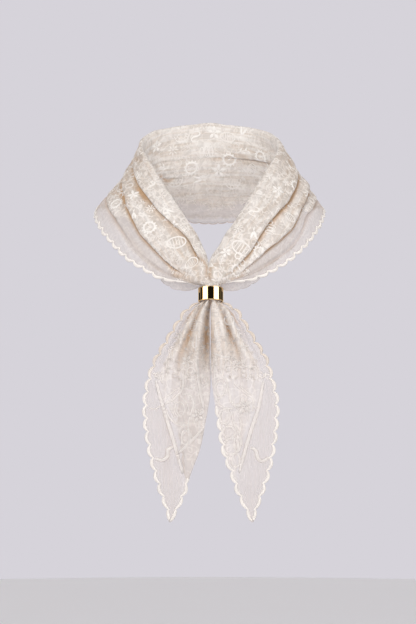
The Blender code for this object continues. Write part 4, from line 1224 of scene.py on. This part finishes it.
def new_group(name, inputs, outputs):
    """An empty shader node group with named float or vector inputs and outputs."""
    group = bpy.data.node_groups.new(name, "ShaderNodeTree")
    for socket, kind, value in inputs:
        made = group.interface.new_socket(socket, in_out="INPUT", socket_type=kind)
        if value is not None:
            made.default_value = value
    for socket, kind in outputs:
        group.interface.new_socket(socket, in_out="OUTPUT", socket_type=kind)
    return group, group.nodes.new("NodeGroupInput"), group.nodes.new("NodeGroupOutput")


@functools.lru_cache
def lace_net_group():
    """Net is bright along the edges of uneven cells, with a finer net within them. Scroll is soft
    rings round scattered points with stems between them, on a place that wavers."""
    group, source, sink = new_group(
        "Lace net",
        (("Place", "NodeSocketVector", None), ("Cell", "NodeSocketFloat", 0.004),
         ("Thread", "NodeSocketFloat", 0.2)),
        (("Net", "NodeSocketFloat"), ("Scroll", "NodeSocketFloat"), ("Mottle", "NodeSocketFloat")),
    )
    scale = maths(group, "DIVIDE", 1.0, source.outputs["Cell"])
    place = add(group, "ShaderNodeVectorMath", {0: source.outputs["Place"]}, operation="SCALE")
    group.links.new(scale, place.inputs["Scale"])
    place = place.outputs[0]
    masks = [
        map_range(group, cells(group, place, finer, 0.85), 0.0, source.outputs["Thread"], weight, 0.0)
        for finer, weight in ((1.0, 1.0), (2.9, 0.62))
    ]
    waver = noise(group, place, 0.30, 1.0)["Color"]
    inputs = {0: waver, 1: (0.5, 0.5, 0.5)}
    bend = add(group, "ShaderNodeVectorMath", inputs, operation="SUBTRACT").outputs[0]
    inputs = {0: bend, 1: (3.2, 3.2, 0.0), 2: place}
    bent = add(group, "ShaderNodeVectorMath", inputs, operation="MULTIPLY_ADD").outputs[0]
    off = maths(group, "ABSOLUTE", maths(group, "SUBTRACT", cells(group, bent, 0.29, 0.8, "F1"), 0.34))
    stem = soft_line(group, cells(group, bent, 0.22, 0.9), 0.09, 0.8)
    group.links.new(maths(group, "MAXIMUM", *masks), sink.inputs["Net"])
    group.links.new(maths(group, "MAXIMUM", soft_line(group, off, 0.13), stem), sink.inputs["Scroll"])
    group.links.new(noise(group, place, 0.24, 2.0)["Fac"], sink.inputs["Mottle"])
    return group


@functools.lru_cache
def thread_group():
    """Fine threads laid side by side: the height of a row of round threads, and their unevenness."""
    group, source, sink = new_group(
        "Laid threads",
        (("Place", "NodeSocketVector", None), ("Pitch", "NodeSocketFloat", 0.0005)),
        (("Height", "NodeSocketFloat"), ("Uneven", "NodeSocketFloat")),
    )
    place = source.outputs["Place"]
    scale = maths(group, "DIVIDE", 0.5, source.outputs["Pitch"])
    inputs = {"Vector": place, "Scale": scale, "Distortion": 1.2, "Detail": 1.0}
    wave = add(group, "ShaderNodeTexWave", inputs, bands_direction="DIAGONAL")
    group.links.new(wave.outputs["Fac"], sink.inputs["Height"])
    group.links.new(noise(group, place, 260.0, 2.0)["Fac"], sink.inputs["Uneven"])
    return group


def new_material(name):
    material = bpy.data.materials.new(name)
    material.use_nodes = True
    tree = material.node_tree
    tree.nodes.remove(tree.nodes["Principled BSDF"])
    return material, tree, tree.nodes["Material Output"].inputs["Surface"]


def use_group(tree, group, inputs):
    return add(tree, "ShaderNodeGroup", inputs, node_tree=group).outputs


@functools.lru_cache
def lace_material():
    """Sheer ground that shows what is behind it, denser and brighter in the embroidered field, with
    silky streaks along the cloth, and a painted warm shade in the hollows of its folds and creases."""
    cloth = bpy.context.scene.shawl_cloth
    material, tree, sink = new_material("sheer_lace")
    place = add(tree, "ShaderNodeUVMap", uv_map="cloth").outputs[0]
    lace, painted_shade = attribute(tree, "lace"), attribute(tree, "painted_shade")
    net = use_group(tree, lace_net_group(), {"Place": place, "Cell": cloth.net_cell, "Thread": 0.30})
    patchy = map_range(tree, net["Mottle"], 0.36, 0.64, 0.28)
    pattern = times(tree, maths(tree, "MULTIPLY_ADD", net["Net"], 0.42, 0.34), patchy)
    field = mix_colour(tree, pattern, cloth.field_colour, cloth.thread_colour)
    dense = maths(tree, "MAXIMUM", maths(tree, "MULTIPLY_ADD", lace, 1.8, -1.8), 0.0)
    field = mix_colour(tree, dense, field, cloth.thread_colour)
    base = mix_colour(tree, lace, cloth.ground_colour, field)
    laced = maths(tree, "MINIMUM", times(tree, lace, 2.2), 1.0)
    drawn = times(tree, times(tree, net["Scroll"], laced), maths(tree, "MULTIPLY_ADD", patchy, 0.5, 0.5))
    base = mix_colour(tree, times(tree, drawn, 0.8), base, cloth.thread_colour)
    run = add(tree, "ShaderNodeMapping", {"Vector": place, "Scale": (0.06, 1.0, 1.0)}).outputs[0]
    silk = noise(tree, run, 380.0, 2.0)["Fac"]
    streak = map_range(tree, silk, 0.44, 0.64, 0.0, 0.42)
    streak = times(tree, streak, maths(tree, "MULTIPLY_ADD", lace, 0.7, 0.25))
    base = mix_colour(tree, streak, base, cloth.shade_colour)
    # Painted shade: deep in the folds and creases the colour is tinted from the shade colour to a deeper
    # tan, as cloth in shade.
    tan = mix_colour(tree, painted_shade, cloth.shade_colour, cloth.deep_shade_colour)
    base = mix_colour(tree, times(tree, painted_shade, 0.9), base, tan)

    weave = maths(tree, "SUBTRACT", noise(tree, run, 700.0, 2.0)["Fac"], 0.5)
    sheer = plus(tree, cloth.ground_cover, times(tree, weave, 0.14))
    dense = plus(tree, 0.66, times(tree, pattern, 0.24))
    cover = plus(tree, sheer, times(tree, lace, maths(tree, "SUBTRACT", dense, sheer)))
    cover = plus(tree, cover, times(tree, drawn, 0.25))
    # The painted shade also makes the cloth less sheer there.
    cover = maths(tree, "MAXIMUM", cover, times(tree, painted_shade, 0.9))
    cover = maths(tree, "MINIMUM", cover, 0.97)
    relief = plus(tree, times(tree, maths(tree, "MAXIMUM", pattern, drawn), lace), silk)
    shader = principled(
        tree, base_color=base, roughness=0.74, sheen_weight=0.15, sheen_roughness=0.5,
        specular_ior_level=0.3, normal=bump(tree, relief, 0.5, 0.0004),
    )
    solid = glowing(tree, 0.30, shader, base)
    clear = add(tree, "ShaderNodeBsdfTransparent").outputs[0]
    tree.links.new(mix_shader(tree, cover, clear, solid), sink)
    return material


# Satin thread: its colour, the darker colour that its uneven tone and its points' shade mix in (on the
# tails' cords a painted shade), the pitch of its threads in metres, how much of what is behind a loosely
# laid one hides, and how much light passes through.
THREADS = {
    "satin_stitch": ("thread_colour", "field_colour", 0.0006, 1.0, 0.15),
    "loose_satin_stitch": ("tail_colour", "field_colour", 0.0006, 0.8, 0.4),
    "satin_cord": ("thread_colour", "shade_colour", 0.0006, 1.0, 0.15),
    "rolled_hem": ("hem_colour", "shade_colour", 0.0008, 0.7, 0.15),
}


@functools.lru_cache
def thread_material(name):
    """Laid satin thread: a soft sheen over fine ridges, a little darker between them."""
    colour, dark, pitch, cover, glow = THREADS[name]
    cloth = bpy.context.scene.shawl_cloth
    material, tree, sink = new_material(name)
    place = add(tree, "ShaderNodeTexCoord").outputs["Object"]
    laid = use_group(tree, thread_group(), {"Place": place, "Pitch": pitch})
    # Each point's shade darkens it towards the dark colour: a painted shade on the tails' cords near the
    # ring, a tone on the embroidery.
    shade = maths(tree, "MAXIMUM", times(tree, laid["Uneven"], 0.24), attribute(tree, "shade"))
    base = mix_colour(tree, shade, getattr(cloth, colour), getattr(cloth, dark))
    shader = principled(
        tree, base_color=base, roughness=0.52, sheen_weight=0.2, specular_ior_level=0.4,
        normal=bump(tree, laid["Height"], 0.35, 0.0002),
    )
    solid = glowing(tree, glow, shader, base)
    if cover < 1:
        solid = mix_shader(tree, cover, add(tree, "ShaderNodeBsdfTransparent").outputs[0], solid)
    tree.links.new(solid, sink)
    return material


@functools.lru_cache
def gold_material():
    """Polished gilt metal, with faint wipe marks in its gloss."""
    ring = bpy.context.scene.shawl_ring
    material, tree, sink = new_material("polished_gold")
    marks = noise(tree, add(tree, "ShaderNodeTexCoord").outputs["Object"], 320.0, 3.0)["Fac"]
    rough = map_range(tree, marks, 0.3, 0.7, ring.roughness * 0.7, ring.roughness * 1.3)
    tint = mix_colour(tree, marks, ring.colour, tuple(0.94 * c for c in ring.colour))
    tree.links.new(principled(tree, base_color=tint, metallic=1.0, roughness=rough), sink)
    return material


# --- Settings -------------------------------------------------------------------------------------


def colour_setting(name, description, *rgb):
    return bpy.props.FloatVectorProperty(
        name=name, description=description, default=linear(*rgb), subtype="COLOR", min=0.0, max=1.0
    )


def number(name, description, default, **more):
    return bpy.props.FloatProperty(name=name, description=description, default=default, **more)


class ShawlCloth(bpy.types.PropertyGroup):
    thickness: number("Cloth thickness", "Thickness of the lace ground in millimetres", 0.35, min=0.1)
    filler_spacing: number(
        "Small motif spacing", "Distance between the small motifs of the embroidered field in millimetres",
        7.0, min=3.0,
    )
    edge_width: number("Edge cord width", "Width of the corded edge in millimetres", 3.8, min=0.5)
    ground_cover: number(
        "Ground cover", "How much of what is behind one face of the plain ground is hidden",
        0.34, min=0.0, max=1.0, subtype="FACTOR",
    )
    net_cell: number("Net cell", "Size of the cells of the lace net", 0.0024, unit="LENGTH")
    ground_colour: colour_setting("Ground", "Colour of the sheer ground", 219, 212, 209)
    field_colour: colour_setting("Field", "Colour of the denser field between its threads", 216, 208, 202)
    thread_colour: colour_setting("Thread", "Colour of the embroidery thread", 238, 234, 230)
    tail_colour: colour_setting("Tail thread", "Colour of the satin stitches of the tails", 245, 241, 238)
    hem_colour: colour_setting("Rolled hem", "Colour of the inner layer's rolled hem", 212, 192, 178)
    shade_colour: colour_setting("Shade", "Colour of the cloth and its cords in light shade", 202, 186, 170)
    # Colour of the painted shade deep in the cloth's folds.
    deep_shade_colour: colour_setting("Hollows", "Colour of the cloth deep in its folds", 191, 154, 114)


class ShawlRing(bpy.types.PropertyGroup):
    colour: colour_setting("Gilding", "Colour of the scarf ring's metal", 255, 214, 150)
    roughness: number("Roughness", "How dull the ring's polish is", 0.07, min=0.0, max=1.0)


class ShawlStudio(bpy.types.PropertyGroup):
    backdrop: colour_setting("Backdrop", "Colour behind the shawl", 214, 211, 218)
    floor: colour_setting("Floor", "Colour of the floor under the shawl", 244, 242, 247)
    distance: number("Camera distance", "From the ring to the camera", 2.0, unit="LENGTH")
    frame_height: number("Frame height", "Height that the camera frames at the ring", 0.6552, unit="LENGTH")
    floor_drop: number("Floor below neck", "Height of the neck over the floor", 1.4, unit="LENGTH")
    dome: number("Dome light", "Strength of the soft light all round", 0.64)
    key: number("Key light", "Power of the main softbox", 25.0, unit="POWER")


# --- Operators ------------------------------------------------------------------------------------


def strip_mask(tree, angle, low, high, soft):
    """1 where the angle lies between low and high, with soft sides."""
    rise = map_range(tree, angle, low - soft, low + soft, smooth=True)
    fall = map_range(tree, angle, high - soft, high + soft, 1.0, 0.0, smooth=True)
    return times(tree, rise, fall)


class SHAWL_OT_studio(bpy.types.Operator):
    """Make the camera, the lights, the backdrop and the floor"""

    bl_idname = f"{PREFIX}.studio"
    bl_label = "Studio"

    def execute(self, context):
        studio = context.scene.shawl_studio
        self.add_camera(context, studio)
        self.add_world(context, studio)
        for name, place, size, power in (
            ("key_softbox", (-0.6, -1.6, 0.8), 1.1, studio.key),
            ("fill_softbox", (1.2, -1.4, 0.2), 1.2, studio.key * 0.5),
            ("back_softbox", (0.3, 1.3, 0.6), 0.9, studio.key * 0.32),
        ):
            self.add_softbox(context, name, place, size, power)
        bpy.ops.mesh.primitive_circle_add(vertices=96, radius=7.0, fill_type="NGON", location=(0, 0, 0))
        floor = context.object
        floor.name = "floor"
        floor.data.transform(floor.matrix_world.Translation((0, 0, -studio.floor_drop)))
        material, tree, sink = new_material("pale_floor")
        tree.links.new(principled(tree, base_color=(*studio.floor, 1.0), roughness=0.8), sink)
        floor.data.materials.append(material)
        context.scene.view_settings.view_transform = "Standard"
        context.scene.cycles.transparent_max_bounces = 32
        return {"FINISHED"}

    def add_camera(self, context, studio):
        camera = bpy.data.cameras.new("camera")
        camera.sensor_width = 36.0
        camera.lens = 36.0 * studio.distance / studio.frame_height
        camera.clip_end = 50.0
        holder = bpy.data.objects.new("camera", camera)
        holder.location = (-0.0016, RING_CENTRE[1] * MM - studio.distance, -0.1342)
        holder.rotation_euler = (math.pi / 2, 0, 0)
        context.scene.collection.objects.link(holder)
        bpy.context.scene.camera = holder

    def add_world(self, context, studio):
        """The backdrop for the camera, two tall softboxes and dark flags for what mirrors them, and
        an even dome for everything else."""
        world = bpy.data.worlds.new("studio")
        world.use_nodes = True
        tree = world.node_tree
        tree.nodes.clear()
        place = add(tree, "ShaderNodeTexCoord").outputs["Generated"]
        axes = add(tree, "ShaderNodeSeparateXYZ", {0: place})
        side = maths(tree, "ARCTAN2", axes.outputs["X"], times(tree, axes.outputs["Y"], -1.0))
        angle = maths(tree, "DEGREES", maths(tree, "ABSOLUTE", side))
        boxes = strip_mask(tree, angle, 31.0, 79.0, 3.0)
        edge = times(tree, strip_mask(tree, angle, 103.0, 113.0, 4.0), 0.05)
        behind = times(tree, strip_mask(tree, angle, 146.0, 190.0, 8.0), 0.22)
        strips = maths(tree, "MAXIMUM", boxes, maths(tree, "MAXIMUM", edge, behind))
        mirrored = plus(tree, 0.008, times(tree, strips, 3.6))
        dome, shine, back = (
            add(tree, "ShaderNodeBackground", {"Color": (*colour, 1.0), "Strength": strength}).outputs[0]
            for colour, strength in (
                ((1.0, 0.985, 0.975), studio.dome), ((1.0, 1.0, 1.0), mirrored), (studio.backdrop, 1.0),
            )
        )
        rays = add(tree, "ShaderNodeLightPath").outputs
        lit = mix_shader(tree, rays["Is Glossy Ray"], dome, shine)
        sink = add(tree, "ShaderNodeOutputWorld").inputs["Surface"]
        tree.links.new(mix_shader(tree, rays["Is Camera Ray"], lit, back), sink)
        context.scene.world = world

    def add_softbox(self, context, name, place, size, power):
        """A round light without a mirror image, aimed at the ring."""
        light = bpy.data.lights.new(name, "AREA")
        light.shape = "DISK"
        light.size = size
        light.energy = power
        holder = bpy.data.objects.new(name, light)
        holder.visible_glossy = False
        holder.location = place
        aim = np.array((0.0, -0.05, -0.1)) - np.array(place)
        holder.rotation_euler = Vector(aim.tolist()).to_track_quat("-Z", "Y").to_euler()
        context.scene.collection.objects.link(holder)


class SHAWL_OT_collar(bpy.types.Operator):
    """Make the folded cloth that stands round the neck, from one end in the ring to the other"""

    bl_idname = f"{PREFIX}.collar"
    bl_label = "Collar cloth"

    def execute(self, context):
        piece = cloth_piece("collar_cloth", collar_drape(), "left_front", "nape", "right_front")
        return {"FINISHED"}


class SHAWL_OT_tails(bpy.types.Operator):
    """Make the two pointed tails, and the edge that is turned under behind the left one"""

    bl_idname = f"{PREFIX}.tails"
    bl_label = "Tails"

    def execute(self, context):
        for side in ("left", "right"):
            piece = cloth_piece(f"{side}_tail_cloth", tail_drape(side), f"{side}_tail")
        piece = cloth_piece("turned_under_cloth", turn_under_drape(), "left_tail_turn_under")
        return {"FINISHED"}


@functools.lru_cache
def turn_under_drape():
    """A layer that rounds the left tail's inner edge and lies behind it: the edge's points, a small
    bulge beside them, and then width and slack carried back from the edge."""
    tail = tail_drape("left")
    z = np.linspace(TURN_UNDER["z"].max(), TURN_UNDER["z"].min(), 90)
    edge = np.stack([np.interp(-z, -tail.along, tail.points[:, 0, k]) for k in range(3)], axis=-1)
    width, slack = (curve_through(-TURN_UNDER["z"], TURN_UNDER[key], -z) for key in ("width", "slack"))
    width = width + 0.6 * scallop(np.arange(len(z)) / len(z) * 12) * np.clip((width - 3) / 10, 0, 1)
    half = TURN_UNDER_GAP / 2
    rows = [edge, edge + (0.35, half, 0), edge + (0, 2 * half, 0)]
    for share in np.linspace(0, 1, 13)[1:]:
        behind = 2 * half + slack * share + 0.5 * np.sin(6 * share + z / 17)
        rows.append(edge + np.stack([-width * share, behind, 0 * z], axis=-1))
    points = np.stack(rows, axis=1)
    across = down_rows(points)
    drape = Drape(z, points, across)
    drape.values = {"lace": 0.15 + 0 * across, "painted_shade": 0 * across}
    return drape


def edge_cord(name, path, normals, lobes, widest, shade, material="satin_cord"):
    """A satin cord on a scalloped edge, wide on the lobes and narrow at their cusps, with a fan of
    triangles from a point in the middle of each end. shade is how dark each of its points is."""
    wide = widest * (0.52 + 0.48 * lobes)
    thick = 0.55 * widest * (0.7 + 0.3 * lobes)
    points = tube(path, normals, wide, thick)
    count, sides = points.shape[:2]
    faces = grid_faces(count, sides, around=True).tolist()
    for end, (column, turn) in enumerate(((0, 1), (count - 1, -1))):
        ring = np.arange(sides) + column * sides
        fan = np.stack([ring, np.roll(ring, -1), np.full(sides, count * sides + end)], axis=-1)
        faces += fan[:, ::turn].tolist()
    points = np.concatenate([points.reshape(-1, 3), points.mean(axis=1)[[0, -1]]])
    shade = np.broadcast_to(shade, count)
    values = {"shade": np.concatenate([np.repeat(shade, sides), shade[[0, -1]]])}
    make_piece(name, points, faces, thread_material(material), values)


class SHAWL_OT_edges(bpy.types.Operator):
    """Make the corded scalloped edges and the rolled hem of the inner layer"""

    bl_idname = f"{PREFIX}.edges"
    bl_label = "Edges"

    def execute(self, context):
        widest = context.scene.shawl_cloth.edge_width
        collar = collar_drape()
        inner = slice(DIVE_STEPS, -DIVE_STEPS)
        inward = unit(collar.points[inner, -4] - collar.points[inner, -1])
        path = smooth_run(collar.points[inner, -1] + 0.35 * widest * inward, 2)
        normals = unit(smooth_run(collar.normals[inner, -1], 2))
        turns = np.linspace(collar.turns[0], collar.turns[-1], len(path))
        lobes = np.abs(np.sin(np.pi * turns)) ** 0.8
        calm = 1 - ease(np.abs(smooth_run(collar.along[inner], 2)), 0.90, 1.0)
        edge_cord("collar_edge_cord", path, normals, lobes * calm, widest * (0.55 + 0.45 * calm), 0.22)

        path = smooth_run(collar.points[inner, 0], 2)
        normals = unit(smooth_run(collar.normals[inner, 0], 2))
        shown = 1 - 0.75 * ease(np.abs(smooth_run(collar.along[inner], 2)), 0.28, 0.42)
        edge_cord("inner_layer_hem", path, normals, 2.08 * shown - 1.08, 0.9, 0.0, "rolled_hem")

        for side in ("left", "right"):
            self.tail_cord(side, widest)
        turned = turn_under_drape()
        path, normals = turned.points[:, -1], turned.normals[:, -1]
        edge_cord("turned_under_edge_cord", path, normals, np.full(len(path), 0.5), 0.7 * widest, 0.5)
        return {"FINISHED"}

    def tail_cord(self, side, widest):
        """A cord down the tail's outer edge, round its tip, and up as much of the inner edge as is
        scalloped."""
        tail = tail_drape(side)
        z, turns = tail.along[DIVE_STEPS:], tail.turns
        points, normals = tail.points[DIVE_STEPS:], tail.normals[DIVE_STEPS:]
        lobes = np.abs(np.sin(np.pi * turns)) ** 0.8
        shown = z < INNER_SCALLOPS_FROM[side]
        inset = 0.3 * widest
        outer = points[:, -1] + inset * unit(points[:, -5] - points[:, -1])
        inner = (points[:, 0] + inset * unit(points[:, 4] - points[:, 0]))[shown][::-1]
        tip = points[-1, -8:7:-8] + (0, 0, 0.6 * widest)
        path = np.concatenate([outer[:-2], tip, inner[2:]])
        lift = np.concatenate([normals[:-2, -1], normals[-1, -8:7:-8], normals[shown][::-1][2:, 0]])
        lobes = np.concatenate([lobes[:-2], 0 * tip[:, 0], lobes[shown][::-1][2:]])
        # Painted shade: the cord is darker near the ring, where the tails bunch.
        shade = 0.22 + 0.55 * (1 - ease(-path[:, 2], 165.0, 225.0))
        edge_cord(f"{side}_tail_edge_cord", path, unit(lift), lobes, 0.95 * widest, shade)


class SHAWL_OT_collar_embroidery(bpy.types.Operator):
    """Embroider the outer and the inner layer of the collar"""

    bl_idname = f"{PREFIX}.collar_embroidery"
    bl_label = "Collar embroidery"

    def execute(self, context):
        cloth = context.scene.shawl_cloth
        drape = collar_drape()
        for name, sign, seed in (("outer_embroidery", 1, 11), ("inner_embroidery", -1, 23)):
            placed, taken = [], []
            for kind, way, share, size, turn in COLLAR_MOTIFS:
                if share * sign > 0:
                    shade = 0.4 if kind == "oval" else 0.25 if sign > 0 else 0.0
                    placed += on_collar(kind, way, share, size, turn, shade)
                    across = share * layer_end(drape, way, sign)
                    centre = drape.read(drape.points, np.array([way]), np.array([across]))[0]
                    taken.append((centre, size))
            reach = sign * LAYER_REACH
            low, high = (-0.985, min(0.0, reach)), (0.985, max(0.0, reach))
            spots, rng = scattered(drape, cloth.filler_spacing, seed, taken, low, high)
            for way, across in spots:
                kind = FILLERS[rng.integers(len(FILLERS))]
                size = 0.70 * cloth.filler_spacing * rng.uniform(0.8, 1.15)
                share, turn = across / layer_end(drape, way, sign), rng.uniform(0, 360)
                placed += on_collar(kind, way, share, size, turn, rng.uniform(0.55, 1.0))
            embroidery(name, drape, placed, "satin_stitch")
        return {"FINISHED"}


class SHAWL_OT_tail_embroidery(bpy.types.Operator):
    """Embroider the tails with satin bands, scrolls, ovals and small motifs"""

    bl_idname = f"{PREFIX}.tail_embroidery"
    bl_label = "Tail embroidery"

    def execute(self, context):
        cloth = context.scene.shawl_cloth
        for side, seed in (("left", 5), ("right", 8)):
            drape = tail_drape(side)
            sign, placed, taken = SIDE_SIGN[side], [], []
            for width, points in TAIL_LINES[side]:
                placed += on_tail(side, [line(points, 1.05 * width, 0.12, 0.5, 8)])
            for x, z, half_width, half_height, width in TAIL_OVALS[side]:
                placed += on_tail(side, [loop(half_width, half_height, 1.1 * width, 0.12, 24)], x, z)
            for kind, x, z, size, turn in TAIL_MOTIFS[side]:
                placed += on_tail(side, MOTIFS[kind](size), x, z, turn)
                taken.append((drape.read(drape.points, np.array([z]), np.array([sign * x]))[0], size))
            for width, points in TAIL_LINES[side]:
                path = np.array(points)
                spots = drape.read(drape.points, path[:, 1], sign * path[:, 0])
                taken += [(spot, 1.0) for spot in spots]
            spots, rng = scattered(
                drape, cloth.filler_spacing, seed, taken, (-205.0, 0.0), (-130.0, 60.0), 0.22
            )
            for z, across in spots:
                kind = FILLERS[rng.integers(len(FILLERS))]
                size = 0.50 * cloth.filler_spacing * rng.uniform(0.8, 1.1)
                placed += on_tail(side, MOTIFS[kind](size), sign * across, z, rng.uniform(0, 360), 0.6)
            embroidery(f"{side}_tail_embroidery", drape, placed, "loose_satin_stitch")
        return {"FINISHED"}


class SHAWL_OT_gather(bpy.types.Operator):
    """Make the cloth bunched inside the ring"""

    bl_idname = f"{PREFIX}.gather"
    bl_label = "Gathered cloth"

    def execute(self, context):
        half = RING_HEIGHT / 2
        upper = np.array(((0, -3), (3.5, -2.4), (7, -1), (9.6, 0.2), (10.6, -0.8), (10.9, -3))) + (0, half)
        fine = smooth_run(np.concatenate([upper, upper[::-1] * (1, -1)]), 4)
        radius, height = np.maximum(fine[:, 0], 0.0), fine[:, 1]
        angle = np.linspace(0, 2 * np.pi, 176, endpoint=False)
        flute = 0.8 * np.sin(11 * angle) + 0.45 * np.sin(19 * angle + 1.0) + 0.3 * np.sin(31 * angle + 2.0)
        spread = radius[:, None] * (1 + flute * radius[:, None] / 150)
        flat = np.stack([spread * np.cos(angle), spread * np.sin(angle), height[:, None] + 0 * spread], -1)
        points = lean(flat) + RING_CENTRE
        uv = np.stack(np.broadcast_arrays(np.arange(len(fine))[:, None] * 1.5, angle * 11 + 0 * spread), -1)
        # Painted shade: the bunched cloth is tinted as in shade, more in the grooves of its flutes.
        values = {"lace": np.full(spread.size, 0.8), "painted_shade": (0.45 - 0.5 * flute + 0 * spread).clip(0, 1)}
        faces = grid_faces(*points.shape[:2], around=True)
        weld(make_piece(
            "gathered_cloth", points, faces, lace_material(), values, uv, replaces=("ring_gather",)
        ))
        return {"FINISHED"}


def lean(points):
    """Turns points about the X axis so that +Z leans with the ring: y is y cos a + z sin a, and z is
    z cos a - y sin a."""
    c, s = math.cos(RING_LEAN), math.sin(RING_LEAN)
    x, y, z = np.moveaxis(points, -1, 0)
    return np.stack([x, y * c + z * s, z * c - y * s], axis=-1)


def weld(piece):
    """Merges the points that meet at a pole and lets no face be without area."""
    mesh = bmesh.new()
    mesh.from_mesh(piece.data)
    bmesh.ops.remove_doubles(mesh, verts=mesh.verts, dist=1e-6)
    bmesh.ops.dissolve_degenerate(mesh, edges=mesh.edges, dist=1e-7)
    mesh.to_mesh(piece.data)
    mesh.free()


class SHAWL_OT_ring(bpy.types.Operator):
    """Make the polished scarf ring, a turned band with rounded lips"""

    bl_idname = f"{PREFIX}.ring"
    bl_label = "Scarf ring"

    def execute(self, context):
        half, out, inn = RING_SHOWN / 2, RING_RADIUS, RING_RADIUS - RING_WALL
        corner = np.linspace(0, np.pi, 9)
        lip = (out - inn) / 2
        top = np.stack([(out + inn) / 2 + lip * np.cos(corner), half - lip + lip * np.sin(corner)], -1)
        foot = top[::-1] * (1, -1)
        wall = np.linspace(half - 1.4, 1.4 - half, 9)
        inside = np.stack([np.full(9, inn), wall], -1)
        outside = np.stack([out + 0.18 * (np.abs(wall[::-1]) / half) ** 8 - 0.05, wall[::-1]], -1)
        profile = np.concatenate([top, inside, foot, outside])
        cos, sin = circle(RING_SIDES).T[:, :, None]
        flat = np.stack(np.broadcast_arrays(profile[:, 0] * cos, profile[:, 0] * sin, profile[:, 1]), -1)
        points = lean(flat) + RING_CENTRE + (RING_HEIGHT - RING_SHOWN) / 2 * RING_DOWN
        faces = grid_faces(*points.shape[:2], around=True, closed=True)
        make_piece(
            "scarf_ring_band", points, faces, gold_material(), replaces=("scarf_ring",)
        )
        return {"FINISHED"}


STEPS = (
    SHAWL_OT_studio,
    SHAWL_OT_collar,
    SHAWL_OT_tails,
    SHAWL_OT_gather,
    SHAWL_OT_edges,
    SHAWL_OT_collar_embroidery,
    SHAWL_OT_tail_embroidery,
    SHAWL_OT_ring,
)
SETTINGS = {"shawl_cloth": ShawlCloth, "shawl_ring": ShawlRing, "shawl_studio": ShawlStudio}


class SHAWL_PT_panel(bpy.types.Panel):
    """Settings and steps of the shawl"""

    bl_idname = "SHAWL_PT_panel"
    bl_label = "Lace shawl"
    bl_space_type = "VIEW_3D"
    bl_region_type = "UI"
    bl_category = "Shawl"

    def draw(self, context):
        for key, group in SETTINGS.items():
            box = self.layout.box()
            for name in group.__annotations__:
                box.prop(getattr(context.scene, key), name)
        for step in STEPS:
            self.layout.operator(step.bl_idname)


def register():
    for cls in (*SETTINGS.values(), *STEPS, SHAWL_PT_panel):
        bpy.utils.register_class(cls)
    for key, group in SETTINGS.items():
        setattr(bpy.types.Scene, key, bpy.props.PointerProperty(type=group))


def unregister():
    for key in SETTINGS:
        delattr(bpy.types.Scene, key)
    for cls in (SHAWL_PT_panel, *reversed(STEPS), *SETTINGS.values()):
        bpy.utils.unregister_class(cls)


def main():
    register()
    for step in STEPS:
        group, name = step.bl_idname.split(".")
        getattr(getattr(bpy.ops, group), name)()


if __name__ == "__main__":
    main()
